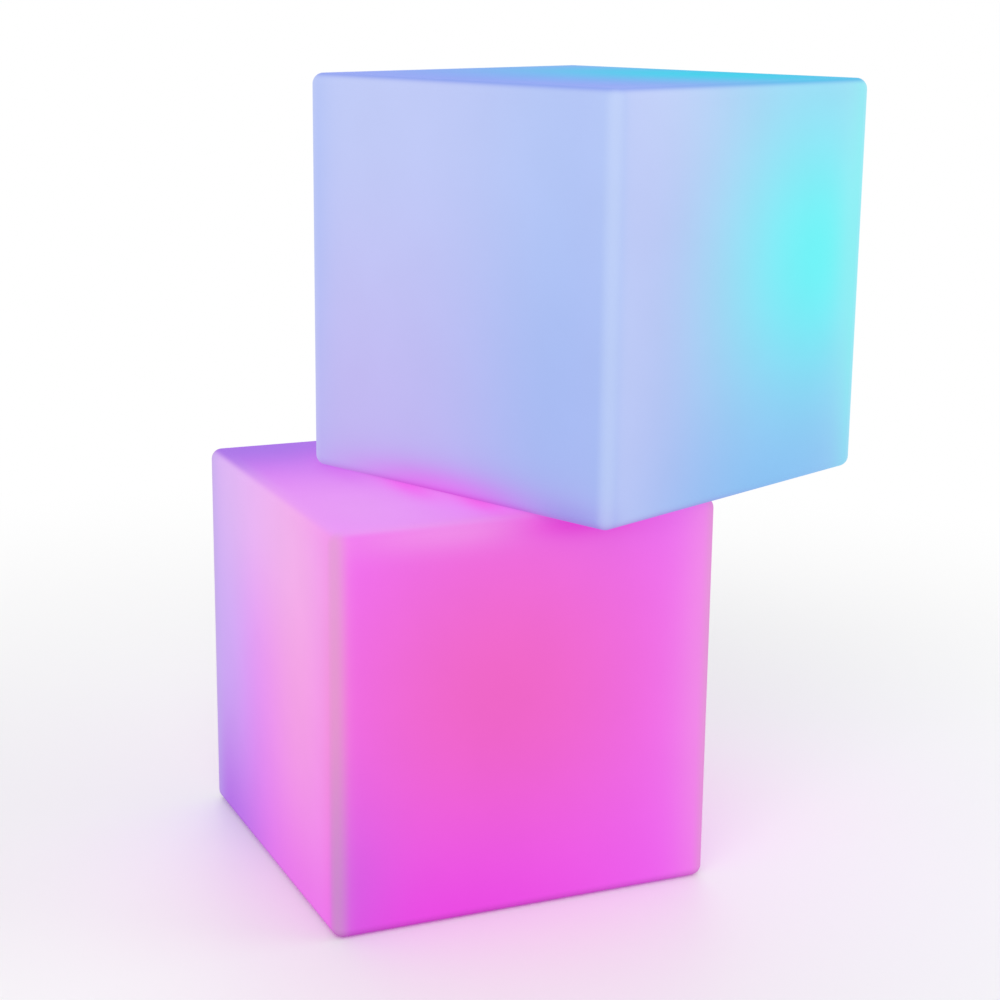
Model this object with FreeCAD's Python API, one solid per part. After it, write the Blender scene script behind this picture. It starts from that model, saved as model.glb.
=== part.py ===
"""Two alike cordless cube lights, the upper one stood askew on the lower one.

Each light is a one-piece rotomoulded polyethylene cube with a round pocket in its underside. A screwed hatch
closes the pocket and carries the works: a push switch, a charging socket under a hinged flap, a control
board, a pack of three cells, and an aluminium post whose lamp boards sit at mid height in a frosted dome.

Millimetres, +Z up. The origin is the centre of the lower cube's underside, and the lower cube is square to X
and Y. Each light is modelled about its own underside centre and then set in its place.
"""

import math
import os

import FreeCAD
import Part

Vector = FreeCAD.Vector

# ---- the cubes ----
SIDE = 400.0  # outside width, depth and height of a cube
EDGE_RADIUS = 11.0  # rounding of every outside edge and corner
WALL = 4.0  # rotomoulded wall

# ---- how the upper light stands on the lower one ----
UPPER_SHIFT_X = 140.0
UPPER_SHIFT_Y = -21.0
UPPER_TURN = 23.3  # degrees about Z

# ---- pocket in the underside ----
OPENING_RADIUS = 66.0  # the way in through the flange
POCKET_DEPTH = 27.0  # from the underside to the flange that the hatch seats on
POCKET_DRAFT = 6.0  # how much wider the mouth is than the top, so the mould core draws
POCKET_SIDE_GAP = 4.0  # round the hatch
MOUTH_ROUND = 3.0
BOSS_RADIUS = 6.5
BOSS_ROOF = 4.0  # plastic over the end of an insert
INSERT_LENGTH = 12.0
INSERT_ACROSS_FLATS = 6.0
HATCH_SCREW_COUNT = 6
HATCH_SCREW_START = 30.0  # angle of the first screw, in degrees from +X

# ---- machine screws of the hatch (M4) ----
SCREW_RADIUS = 2.0
SCREW_HEAD_RADIUS = 3.8
SCREW_HEAD_HEIGHT = 2.6
SCREW_REACH = 9.5  # length of thread inside the insert
HEX_ACROSS_FLATS = 2.5

# ---- hatch ----
HATCH_EDGE = 5.5  # from the screws' circle to the rim
HATCH_RIM = 6.0  # thickness where it bears on the flange
HATCH_FLOOR = 3.5  # thickness inside the spigot
HATCH_CHAMFER = 1.0  # round the rim's outer face
SPIGOT_HEIGHT = 6.0
SPIGOT_WALL = 3.0
HEAD_POCKET_DEPTH = 3.2
SEAL_LAND = 2.0  # from the opening to the seal's groove
SEAL_WIDTH = 3.5
SEAL_HEIGHT = 2.5
SEAL_TO_SCREWS = 5.0
RIB_WIDTH = 2.5
RIB_HEIGHT = 4.0

# ---- charging socket for a barrel plug, its well and its flap ----
SOCKET_X = 26.0
SOCKET_Y = -34.0
WELL_RADIUS = 6.2
WELL_DEPTH = 7.9
WELL_WALL = 2.2
JACK_NOSE_RADIUS = 4.0
JACK_BORE_RADIUS = 2.75
JACK_PIN_RADIUS = 1.05
JACK_BORE_DEPTH = 9.5
JACK_PIN_SETBACK = 1.0
JACK_BODY = 10.0
FLAP_WIDTH = 18.0
FLAP_THICKNESS = 2.4
FLAP_FREE_END = 10.0  # from the well's centre to the flap's free end
FLAP_HINGE_REACH = 13.0  # from the well's centre to the hinge pin
KNUCKLE_RADIUS = 2.2
HINGE_PIN_RADIUS = 0.8
HINGE_PIN_SEAT = 2.5  # length of pin held at each side
FLAP_SWING_ROOM = 1.0  # outside the knuckle, for the open flap's root
NAIL_NOTCH_RADIUS = 5.0
HINGE_PAD_WALL = 1.75  # round the knuckle's room and the pin's ends

# ---- push button and switch ----
BUTTON_X = -26.0
BUTTON_Y = -34.0
BUTTON_RADIUS = 8.0
BUTTON_PROUD = 1.4
BUTTON_TRAVEL = 1.5
BUTTON_WALL = 1.6
BUTTON_DISH = 0.7  # depth of the finger hollow in its face
BUTTON_DISH_RADIUS = 5.0
SKIRT_RADIUS = 9.6
SKIRT_THICKNESS = 1.5
STEM_RADIUS = 2.4
PLUNGER_RADIUS = 1.5
PLUNGER_LENGTH = 6.0
SWITCH_BODY = 8.0
SWITCH_HEIGHT = 6.5

# ---- control board and what it carries ----
BOARD_LENGTH = 72.0
BOARD_WIDTH = 30.0
BOARD_THICKNESS = 1.6
BOARD_Y = -33.0
BOARD_HEIGHT = 46.0  # underside of the board above the cube's underside
BOARD_SCREW_X = 32.0
BOARD_SCREW_Y = 11.0  # from the board's centre line
STANDOFF_RADIUS = 3.0
SMALL_SCREW_RADIUS = 1.25
SMALL_HEAD_RADIUS = 2.4
SMALL_HEAD_HEIGHT = 1.6
SMALL_SCREW_REACH = 8.0
CONTROLLER_SIZE = 10.0
CONTROLLER_X = -6.0
CONTROLLER_Y = -4.0  # this and the next three from the board's centre line
DRIVER_Y = -6.0
CAPACITOR_Y = 5.0
RECEIVER_Y = -7.5
DRIVER_LENGTH = 6.0
DRIVER_WIDTH = 5.0
DRIVER_X = 8.0
CHIP_HEIGHT = 1.6
COIL_SIZE = 9.0
COIL_HEIGHT = 4.5
COIL_X = 18.0
CAPACITOR_RADIUS = 4.0
CAPACITOR_HEIGHT = 9.0
CAPACITOR_X = 5.0
PLUG_LENGTH = 8.0  # lead connectors on the board
PLUG_WIDTH = 6.0
PLUG_HEIGHT = 6.0
LEAD_PLUG_X = 20.5
LEAD_PLUG_Y = -24.0
INDICATOR_Y = -43.0
INDICATOR_RADIUS = 2.0
INDICATOR_FLANGE_RADIUS = 3.2
INDICATOR_CHIP_LENGTH = 3.0
INDICATOR_CHIP_WIDTH = 2.0
INDICATOR_CHIP_HEIGHT = 1.0
RECEIVER_X = -16.0
RECEIVER_WIDTH = 6.0
RECEIVER_DEPTH = 4.0
RECEIVER_HEIGHT = 6.0
RECEIVER_EYE_RADIUS = 2.4

# ---- cells and their cradle ----
CELL_RADIUS = 9.2
CELL_LENGTH = 65.2
CELL_NUB_RADIUS = 3.0
CELL_NUB_HEIGHT = 1.0
CELL_PITCH = 20.0
CELL_COUNT = 3
CELL_ROW_Y = 36.0
CELL_GAP = 0.2
CRADLE_LENGTH = 64.0
CRADLE_WIDTH = 27.4
CRADLE_CORNER = 5.0
CRADLE_HEIGHT = 30.0
CRADLE_FLOOR = 2.0
CAP_GRIP = 9.0  # how far the cap comes down over the cells
CAP_ROOF = 4.0
ROD_X = 10.0
ROD_Y = 9.7  # from the row of cells
ROD_RADIUS = 1.4
ROD_PEG_RADIUS = 2.8
ROD_PEG_HEIGHT = 8.0

# ---- lamp post ----
POST_WIDTH = 30.0
POST_BORE_RADIUS = 10.5
POST_CORNER = 2.0
POST_ABOVE_BOARDS = 8.0
PAD_HEIGHT = 4.5  # of the hatch's pad under the foot
PAD_WIDTH = 24.0
PAD_MARGIN = 2.0  # past each end of the foot
FOOT_FLOOR = 4.0
FOOT_SOCKET_HEIGHT = 12.0
FOOT_SOCKET_WALL = 3.0
FOOT_LENGTH = 56.0
FOOT_SCREW_X = 23.0
FOOT_EAR_WIDTH = 12.0
FOOT_GAP = 0.1

# ---- lamp boards ----
LAMP_BOARD_WIDTH = 26.0
LAMP_BOARD_LENGTH = 116.0
LAMP_BOARD_THICKNESS = 1.6
LAMP_BOARD_LIFT = 8.0  # above the collar
LEDS_PER_BOARD = 5
LED_PITCH = 22.0
LED_SIZE = 5.0
LED_HEIGHT = 1.6
TOP_LED_SPACING = 12.0

# ---- dome and its collar ----
DOME_RADIUS = 31.0
DOME_WALL = 2.0
DOME_FLANGE_RADIUS = 35.0
DOME_FLANGE = 3.0
DOME_HEADROOM = 8.8  # over the top lamps
DOME_ROUND = 10.0  # rounding of the dome's closed end
COLLAR_THICKNESS = 5.0
COLLAR_CLEAR = 2.3  # over the cells' cap
COLLAR_HUB_HEIGHT = 10.0
COLLAR_HUB_WALL = 3.0
COLLAR_LIP = 2.0
COLLAR_LEAD_HOLE = 2.0

# ---- leads ----
LEAD_RADIUS = 1.25
LEAD_RUN_Y = -8.0
LEAD_ABOVE_CAP_EDGE = 4.3
LEAD_DROP = 14.0  # fall of the battery lead across its sloping run
LAMP_LEAD_Y = -22.5
LAMP_LEAD_RISE = 10.0  # straight up out of its connector
LAMP_LEAD_SLOPE = 18.0  # rise of its sloping run
LAMP_PLUG_WIDTH = 6.0
LAMP_PLUG_HEIGHT = 6.0
BEND_SHARE = 0.45  # of the shorter run at a corner, taken up by its bend

# ---- clearances ----
SLIP = 0.1  # between still pieces that slide together
SPIGOT_GAP = 0.5
SEAL_GAP = 0.1
HOLE_GAP = 0.2  # around a screw
THREAD_GAP = 0.05
RUNNING_GAP = 0.05  # around the hinge pin and the plunger
BUTTON_GAP = 0.2
FLAP_GAP = 0.3

# ---- radii worked out from the opening outward ----
SPIGOT_RADIUS = OPENING_RADIUS - SPIGOT_GAP
SEAL_INNER_RADIUS = OPENING_RADIUS + SEAL_LAND
SEAL_OUTER_RADIUS = SEAL_INNER_RADIUS + SEAL_WIDTH
SCREW_CIRCLE_RADIUS = SEAL_OUTER_RADIUS + SEAL_TO_SCREWS
HATCH_RADIUS = SCREW_CIRCLE_RADIUS + HATCH_EDGE
POCKET_TOP_RADIUS = HATCH_RADIUS + POCKET_SIDE_GAP
POCKET_MOUTH_RADIUS = POCKET_TOP_RADIUS + POCKET_DRAFT

# ---- heights worked out from the sizes above ----
FLANGE_TOP = POCKET_DEPTH + WALL
HATCH_LOW = POCKET_DEPTH - HATCH_RIM
FLOOR_TOP = HATCH_LOW + HATCH_FLOOR
REBATE_TOP = HATCH_LOW + FLAP_THICKNESS + SLIP
WELL_TOP = REBATE_TOP + WELL_DEPTH
JACK_LOW = WELL_TOP
CUP_TOP = WELL_TOP + SPIGOT_WALL
HINGE_Z = HATCH_LOW + KNUCKLE_RADIUS
HINGE_X = SOCKET_X + FLAP_HINGE_REACH
KNUCKLE_ROOM_TOP = HINGE_Z + KNUCKLE_RADIUS + FLAP_GAP
BOARD_TOP = BOARD_HEIGHT + BOARD_THICKNESS
SWITCH_LOW = BOARD_HEIGHT - SWITCH_HEIGHT
STEM_TOP = SWITCH_LOW - BUTTON_TRAVEL - HOLE_GAP * 2
CELL_LOW = FLOOR_TOP + CRADLE_FLOOR
CELL_TOP = CELL_LOW + CELL_LENGTH + CELL_NUB_HEIGHT
CAP_LOW = CELL_TOP - CAP_GRIP
CAP_TOP = CELL_TOP + CAP_ROOF
LEAD_HEIGHT = CAP_LOW + LEAD_ABOVE_CAP_EDGE
PAD_TOP = FLOOR_TOP + PAD_HEIGHT
POST_LOW = PAD_TOP + FOOT_FLOOR
COLLAR_LOW = CAP_TOP + COLLAR_CLEAR
DOME_LOW = COLLAR_LOW + COLLAR_THICKNESS
LAMP_BOARD_LOW = DOME_LOW + LAMP_BOARD_LIFT
POST_TOP = LAMP_BOARD_LOW + LAMP_BOARD_LENGTH + POST_ABOVE_BOARDS
DOME_TOP = POST_TOP + LAMP_BOARD_THICKNESS + LED_HEIGHT + DOME_HEADROOM + DOME_WALL
LAMP_FACE = POST_WIDTH / 2 + LAMP_BOARD_THICKNESS  # outer face of a side lamp board


# ---- small makers of plain solids ----
def block(width, depth, height, x, y, low):
    """A box centred on x and y, standing on the height low."""
    return Part.makeBox(width, depth, height, Vector(x - width / 2, y - depth / 2, low))


def disc(radius, height, x, y, low):
    """A round bar or hole, upright, centred on x and y."""
    return Part.makeCylinder(radius, height, Vector(x, y, low))


def ring(outer, inner, height, x, y, low):
    """A round tube, upright."""
    return disc(outer, height, x, y, low).cut(disc(inner, height, x, y, low))


def bar_along_y(radius, length, x, y, z):
    """A round bar along Y, centred on y."""
    return Part.makeCylinder(radius, length, Vector(x, y - length / 2, z), Vector(0, 1, 0))


def turned(profile):
    """A solid turned about Z from a closed list of (radius, height) points."""
    points = [Vector(radius, 0, height) for radius, height in profile]
    wire = Part.makePolygon(points + points[:1])
    return Part.Face(wire).revolve(Vector(0, 0, 0), Vector(0, 0, 1), 360)


def rounded_block(width, depth, height, corner, x, y, low):
    """A box with its four upright edges rounded."""
    solid = block(width, depth, height, x, y, low)
    upright = [e for e in solid.Edges if abs(e.tangentAt(e.FirstParameter).z) > 0.9]
    return solid.makeFillet(corner, upright)


def hexagon_bar(across_flats, height, x, y, low):
    """A six-sided bar, upright."""
    reach = across_flats / math.sqrt(3)
    corners = [
        Vector(x + reach * math.cos(math.radians(60 * i)), y + reach * math.sin(math.radians(60 * i)), low)
        for i in range(6)
    ]
    return Part.Face(Part.makePolygon(corners + corners[:1])).extrude(Vector(0, 0, height))


def around(radius, count, first_angle=0.0):
    """Places evenly spaced on a circle, as (x, y) pairs."""
    step = 2 * math.pi / count
    start = math.radians(first_angle)
    return [(radius * math.cos(start + i * step), radius * math.sin(start + i * step)) for i in range(count)]


def fused(solids):
    """One solid out of several that touch."""
    return solids[0].fuse(solids[1:]).removeSplitter()


def screw(radius, head_radius, head_height, length, x, y, seat, drive=0.0, pointing=1):
    """A pan-head screw seated at the height seat. pointing 1 sends its thread up, -1 down."""
    thread_low = seat if pointing > 0 else seat - length
    head_low = seat - head_height if pointing > 0 else seat
    solid = disc(radius, length, x, y, thread_low).fuse(disc(head_radius, head_height, x, y, head_low))
    if drive:
        depth = head_height / 2
        drive_low = head_low if pointing > 0 else head_low + head_height - depth
        solid = solid.cut(hexagon_bar(drive, depth, x, y, drive_low))
    return solid.removeSplitter()


# ---- the moulded cube ----
def screw_places():
    return around(SCREW_CIRCLE_RADIUS, HATCH_SCREW_COUNT, HATCH_SCREW_START)


def rounded_cube(side, radius, low):
    solid = block(side, side, side, 0, 0, low)
    return solid.makeFillet(radius, solid.Edges)


def shell():
    """Skin, pocket, flange and insert bosses, all one moulding."""
    outer = rounded_cube(SIDE, EDGE_RADIUS, 0)
    hollow = rounded_cube(SIDE - 2 * WALL, EDGE_RADIUS - WALL, WALL)
    casing = Part.makeCone(POCKET_MOUTH_RADIUS + WALL, POCKET_TOP_RADIUS + WALL, FLANGE_TOP)
    pocket = Part.makeCone(POCKET_MOUTH_RADIUS, POCKET_TOP_RADIUS, POCKET_DEPTH)
    boss_height = INSERT_LENGTH + BOSS_ROOF
    bosses = [disc(BOSS_RADIUS, boss_height, x, y, POCKET_DEPTH) for x, y in screw_places()]
    solid = outer.cut(hollow).fuse([casing] + bosses)
    solid = solid.cut(pocket).cut(disc(OPENING_RADIUS, FLANGE_TOP, 0, 0, 0))
    for x, y in screw_places():
        solid = solid.cut(hexagon_bar(INSERT_ACROSS_FLATS, INSERT_LENGTH, x, y, POCKET_DEPTH))
    mouth = [
        e
        for e in solid.Edges
        if abs(e.BoundBox.ZMax) < 1e-6 and abs(e.BoundBox.XMax - POCKET_MOUTH_RADIUS) < 1e-3
    ]
    return solid.makeFillet(MOUTH_ROUND, mouth)


def inserts():
    """Brass nuts that the mould leaves in the flange's bosses."""
    return [
        hexagon_bar(INSERT_ACROSS_FLATS, INSERT_LENGTH, x, y, POCKET_DEPTH).cut(
            disc(SCREW_RADIUS + THREAD_GAP, INSERT_LENGTH, x, y, POCKET_DEPTH)
        )
        for x, y in screw_places()
    ]


# ---- the hatch and what seals it ----
def hatch():
    """Round moulded lid: rim, seal groove, spigot, well, flap rebate, button guide, pad and standoffs."""
    spigot_top = POCKET_DEPTH + SPIGOT_HEIGHT
    spigot_inner = SPIGOT_RADIUS - SPIGOT_WALL
    solid = turned(
        [
            (0, HATCH_LOW),
            (HATCH_RADIUS - HATCH_CHAMFER, HATCH_LOW),
            (HATCH_RADIUS, HATCH_LOW + HATCH_CHAMFER),
            (HATCH_RADIUS, POCKET_DEPTH),
            (SEAL_OUTER_RADIUS, POCKET_DEPTH),
            (SEAL_OUTER_RADIUS, POCKET_DEPTH - SEAL_HEIGHT),
            (SEAL_INNER_RADIUS, POCKET_DEPTH - SEAL_HEIGHT),
            (SEAL_INNER_RADIUS, POCKET_DEPTH),
            (SPIGOT_RADIUS, POCKET_DEPTH),
            (SPIGOT_RADIUS, spigot_top),
            (spigot_inner, spigot_top),
            (spigot_inner, FLOOR_TOP),
            (0, FLOOR_TOP),
        ]
    )
    added = [
        rounded_block(FOOT_LENGTH + 2 * PAD_MARGIN, PAD_WIDTH, PAD_HEIGHT, CRADLE_CORNER, 0, 0, FLOOR_TOP),
        disc(WELL_RADIUS + WELL_WALL, CUP_TOP - FLOOR_TOP, SOCKET_X, SOCKET_Y, FLOOR_TOP),
        hinge_pad(),
        disc(SKIRT_RADIUS + BUTTON_GAP + BUTTON_WALL, button_guide_height(), BUTTON_X, BUTTON_Y, FLOOR_TOP),
    ]
    standoff_height = BOARD_HEIGHT - FLOOR_TOP
    added += [disc(STANDOFF_RADIUS, standoff_height, x, y, FLOOR_TOP) for x, y in board_screw_places()]
    added += [disc(ROD_PEG_RADIUS, ROD_PEG_HEIGHT, x, y, FLOOR_TOP) for x, y in rod_places()]
    added += hatch_ribs(spigot_inner)
    solid = solid.fuse(added).removeSplitter()
    for cut in hatch_cuts():
        solid = solid.cut(cut)
    return solid.removeSplitter()


def button_guide_height():
    return SKIRT_THICKNESS + BUTTON_TRAVEL + BUTTON_GAP


def hinge_pad():
    """Thicker floor over the flap's knuckle."""
    room = KNUCKLE_RADIUS + FLAP_SWING_ROOM
    return block(
        2 * (room + HINGE_PAD_WALL),
        FLAP_WIDTH + 2 * (HINGE_PIN_SEAT + HINGE_PAD_WALL),
        KNUCKLE_ROOM_TOP + HATCH_FLOOR - FLOOR_TOP,
        HINGE_X,
        SOCKET_Y,
        FLOOR_TOP,
    )


def hatch_ribs(outer):
    """Stiffening ribs where the floor is free."""
    ribs = []
    start = FOOT_LENGTH / 2
    for angle in (0, 180):
        rib = Part.makeBox(outer - start, RIB_WIDTH, RIB_HEIGHT, Vector(start, -RIB_WIDTH / 2, FLOOR_TOP))
        rib.rotate(Vector(0, 0, 0), Vector(0, 0, 1), angle)
        ribs.append(rib)
    front_end = INDICATOR_Y + INDICATOR_FLANGE_RADIUS + RIB_WIDTH
    front_length = -PAD_WIDTH / 2 - front_end
    front_y = front_end + front_length / 2
    return ribs + [block(RIB_WIDTH, front_length, RIB_HEIGHT, 0, front_y, FLOOR_TOP)]


def hatch_cuts():
    """Every hole, pocket and rebate of the hatch."""
    cuts = []
    for x, y in screw_places():
        cuts.append(disc(SCREW_RADIUS + HOLE_GAP, HATCH_RIM, x, y, HATCH_LOW))
        cuts.append(disc(SCREW_HEAD_RADIUS + 2 * HOLE_GAP, HEAD_POCKET_DEPTH, x, y, HATCH_LOW))
    cuts.append(flap_outline(FLAP_GAP, REBATE_TOP - HATCH_LOW, KNUCKLE_RADIUS + FLAP_SWING_ROOM))
    room = KNUCKLE_RADIUS + FLAP_SWING_ROOM
    cuts.append(
        Part.makeBox(
            2 * room,
            FLAP_WIDTH + 2 * FLAP_GAP,
            KNUCKLE_ROOM_TOP - HATCH_LOW,
            Vector(HINGE_X - room, SOCKET_Y - FLAP_WIDTH / 2 - FLAP_GAP, HATCH_LOW),
        )
    )
    seat_length = FLAP_WIDTH + 2 * (FLAP_GAP + HINGE_PIN_SEAT)
    seat_radius = HINGE_PIN_RADIUS + THREAD_GAP / 2
    cuts.append(bar_along_y(seat_radius, seat_length, HINGE_X, SOCKET_Y, HINGE_Z))
    cuts.append(block(2 * seat_radius, seat_length, HINGE_Z - HATCH_LOW, HINGE_X, SOCKET_Y, HATCH_LOW))
    notch_centre = Vector(SOCKET_X - FLAP_FREE_END - FLAP_GAP, SOCKET_Y, HATCH_LOW - NAIL_NOTCH_RADIUS / 2)
    cuts.append(Part.makeSphere(NAIL_NOTCH_RADIUS, notch_centre))
    cuts.append(disc(WELL_RADIUS, WELL_DEPTH, SOCKET_X, SOCKET_Y, REBATE_TOP))
    cuts.append(disc(JACK_NOSE_RADIUS + SLIP, CUP_TOP - WELL_TOP, SOCKET_X, SOCKET_Y, WELL_TOP))
    cuts.append(disc(BUTTON_RADIUS + BUTTON_GAP, HATCH_FLOOR, BUTTON_X, BUTTON_Y, HATCH_LOW))
    cuts.append(disc(SKIRT_RADIUS + BUTTON_GAP, button_guide_height(), BUTTON_X, BUTTON_Y, FLOOR_TOP))
    cuts.append(disc(INDICATOR_RADIUS + SLIP, HATCH_FLOOR, 0, INDICATOR_Y, HATCH_LOW))
    thread_low = BOARD_HEIGHT - SMALL_SCREW_REACH
    for x, y in board_screw_places():
        cuts.append(disc(SMALL_SCREW_RADIUS + THREAD_GAP, SMALL_SCREW_REACH, x, y, thread_low))
    for x, y in rod_places():
        cuts.append(disc(ROD_RADIUS + THREAD_GAP, ROD_PEG_HEIGHT, x, y, FLOOR_TOP))
    for x in (-FOOT_SCREW_X, FOOT_SCREW_X):
        cuts.append(disc(SMALL_SCREW_RADIUS + THREAD_GAP, PAD_HEIGHT, x, 0, FLOOR_TOP))
    return cuts


def hatch_seal():
    return ring(
        SEAL_OUTER_RADIUS - SEAL_GAP,
        SEAL_INNER_RADIUS + SEAL_GAP,
        SEAL_HEIGHT,
        0,
        0,
        POCKET_DEPTH - SEAL_HEIGHT,
    )


def hatch_screws():
    seat = HATCH_LOW + HEAD_POCKET_DEPTH
    length = POCKET_DEPTH - seat + SCREW_REACH
    return [
        screw(SCREW_RADIUS, SCREW_HEAD_RADIUS, SCREW_HEAD_HEIGHT, length, x, y, seat, HEX_ACROSS_FLATS)
        for x, y in screw_places()
    ]


# ---- charging socket ----
def flap_outline(gap, height, past_pin):
    """The flap's plate shape, grown by gap, from its free end to past_pin beyond the hinge pin."""
    low_x = SOCKET_X - FLAP_FREE_END - gap
    high_x = HINGE_X + past_pin
    solid = Part.makeBox(
        high_x - low_x,
        FLAP_WIDTH + 2 * gap,
        height,
        Vector(low_x, SOCKET_Y - FLAP_WIDTH / 2 - gap, HATCH_LOW),
    )
    free_end = [e for e in solid.Edges if e.BoundBox.XMax < low_x + 1e-6 and e.BoundBox.ZLength > height / 2]
    return solid.makeFillet(FLAP_WIDTH / 4 + gap, free_end)


def charge_flap():
    """Flat lid with its knuckle, flush with the hatch when shut."""
    plate = flap_outline(0.0, FLAP_THICKNESS, 0.0)
    knuckle = bar_along_y(KNUCKLE_RADIUS, FLAP_WIDTH, HINGE_X, SOCKET_Y, HINGE_Z)
    pin_hole = bar_along_y(HINGE_PIN_RADIUS + RUNNING_GAP, FLAP_WIDTH, HINGE_X, SOCKET_Y, HINGE_Z)
    return plate.fuse(knuckle).cut(pin_hole).removeSplitter()


def flap_pin():
    """Steel pin, pressed up into two open slots of the hatch."""
    length = FLAP_WIDTH + 2 * (FLAP_GAP + HINGE_PIN_SEAT) - 2 * SLIP
    return bar_along_y(HINGE_PIN_RADIUS, length, HINGE_X, SOCKET_Y, HINGE_Z)


def charge_socket():
    """Barrel jack on the board, its nose in the floor of the well, with its centre pin."""
    nose = disc(JACK_NOSE_RADIUS, CUP_TOP - JACK_LOW, SOCKET_X, SOCKET_Y, JACK_LOW)
    body = block(JACK_BODY, JACK_BODY, BOARD_HEIGHT - CUP_TOP, SOCKET_X, SOCKET_Y, CUP_TOP)
    bore = disc(JACK_BORE_RADIUS, JACK_BORE_DEPTH, SOCKET_X, SOCKET_Y, JACK_LOW)
    pin_length = JACK_BORE_DEPTH - JACK_PIN_SETBACK
    pin = disc(JACK_PIN_RADIUS, pin_length, SOCKET_X, SOCKET_Y, JACK_LOW + JACK_PIN_SETBACK)
    return nose.fuse(body).cut(bore).fuse(pin).removeSplitter()


# ---- push button and switch ----
def power_button():
    """Hollow cap with a finger dish, a retaining skirt and a stem."""
    low = HATCH_LOW - BUTTON_PROUD
    inner = BUTTON_RADIUS - BUTTON_WALL
    cap = turned(
        [
            (0, low + BUTTON_DISH),
            (BUTTON_DISH_RADIUS, low),
            (BUTTON_RADIUS - BUTTON_WALL / 2, low),
            (BUTTON_RADIUS, low + BUTTON_WALL / 2),
            (BUTTON_RADIUS, FLOOR_TOP),
            (SKIRT_RADIUS, FLOOR_TOP),
            (SKIRT_RADIUS, FLOOR_TOP + SKIRT_THICKNESS),
            (inner, FLOOR_TOP + SKIRT_THICKNESS),
            (inner, low + 2 * BUTTON_WALL),
            (STEM_RADIUS, low + 2 * BUTTON_WALL),
            (STEM_RADIUS, STEM_TOP),
            (0, STEM_TOP),
        ]
    )
    return cap.translated(Vector(BUTTON_X, BUTTON_Y, 0))


def switch_plunger():
    """Rod that the stem pushes into the switch."""
    return disc(PLUNGER_RADIUS, PLUNGER_LENGTH, BUTTON_X, BUTTON_Y, STEM_TOP)


def power_switch():
    body = block(SWITCH_BODY, SWITCH_BODY, SWITCH_HEIGHT, BUTTON_X, BUTTON_Y, SWITCH_LOW)
    bore_top = STEM_TOP + PLUNGER_LENGTH + BUTTON_TRAVEL + HOLE_GAP
    bore = disc(PLUNGER_RADIUS + RUNNING_GAP, bore_top - SWITCH_LOW, BUTTON_X, BUTTON_Y, SWITCH_LOW)
    return body.cut(bore)


# ---- control board ----
def board_screw_places():
    sides = (-BOARD_SCREW_X, BOARD_SCREW_X)
    rows = (BOARD_Y - BOARD_SCREW_Y, BOARD_Y + BOARD_SCREW_Y)
    return [(x, y) for x in sides for y in rows]


def control_board():
    board = block(BOARD_LENGTH, BOARD_WIDTH, BOARD_THICKNESS, 0, BOARD_Y, BOARD_HEIGHT)
    for x, y in board_screw_places():
        board = board.cut(disc(SMALL_SCREW_RADIUS + HOLE_GAP, BOARD_THICKNESS, x, y, BOARD_HEIGHT))
    return board


def board_parts():
    """Controller, lamp driver, coil, capacitor, lead connectors and the indicator's lamp."""
    parts = [
        block(CONTROLLER_SIZE, CONTROLLER_SIZE, CHIP_HEIGHT, CONTROLLER_X, BOARD_Y + CONTROLLER_Y, BOARD_TOP),
        block(DRIVER_LENGTH, DRIVER_WIDTH, CHIP_HEIGHT, DRIVER_X, BOARD_Y + DRIVER_Y, BOARD_TOP),
        block(COIL_SIZE, COIL_SIZE, COIL_HEIGHT, COIL_X, BOARD_Y + DRIVER_Y, BOARD_TOP),
        disc(CAPACITOR_RADIUS, CAPACITOR_HEIGHT, CAPACITOR_X, BOARD_Y + CAPACITOR_Y, BOARD_TOP),
    ]
    for x in (-LEAD_PLUG_X, LEAD_PLUG_X):
        parts.append(block(PLUG_LENGTH, PLUG_WIDTH, PLUG_HEIGHT, x, LEAD_PLUG_Y, BOARD_TOP))
    chip_low = BOARD_HEIGHT - INDICATOR_CHIP_HEIGHT
    chip = block(INDICATOR_CHIP_LENGTH, INDICATOR_CHIP_WIDTH, INDICATOR_CHIP_HEIGHT, 0, INDICATOR_Y, chip_low)
    return parts + [chip]


def board_screws():
    length = BOARD_THICKNESS + SMALL_SCREW_REACH
    return [
        screw(SMALL_SCREW_RADIUS, SMALL_HEAD_RADIUS, SMALL_HEAD_HEIGHT, length, x, y, BOARD_TOP, pointing=-1)
        for x, y in board_screw_places()
    ]


def remote_receiver():
    """Infrared eye that sees the handset through the glowing shell."""
    x = RECEIVER_X
    y = BOARD_Y + RECEIVER_Y
    body = block(RECEIVER_WIDTH, RECEIVER_DEPTH, RECEIVER_HEIGHT, x, y, BOARD_TOP)
    eye = bar_along_y(RECEIVER_EYE_RADIUS, RECEIVER_DEPTH, x, y, BOARD_TOP + RECEIVER_HEIGHT)
    return body.fuse(eye).removeSplitter()


def indicator_lens():
    """Light pipe from the board's indicator lamp to the hatch's outer face."""
    top = BOARD_HEIGHT - INDICATOR_CHIP_HEIGHT
    pipe = disc(INDICATOR_RADIUS, top - HATCH_LOW, 0, INDICATOR_Y, HATCH_LOW)
    flange = disc(INDICATOR_FLANGE_RADIUS, SKIRT_THICKNESS, 0, INDICATOR_Y, FLOOR_TOP)
    return pipe.fuse(flange).removeSplitter()


# ---- cells ----
def cell_places():
    middle = (CELL_COUNT - 1) / 2
    return [((i - middle) * CELL_PITCH, CELL_ROW_Y) for i in range(CELL_COUNT)]


def rod_places():
    return [(-ROD_X, CELL_ROW_Y - ROD_Y), (ROD_X, CELL_ROW_Y + ROD_Y)]


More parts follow.
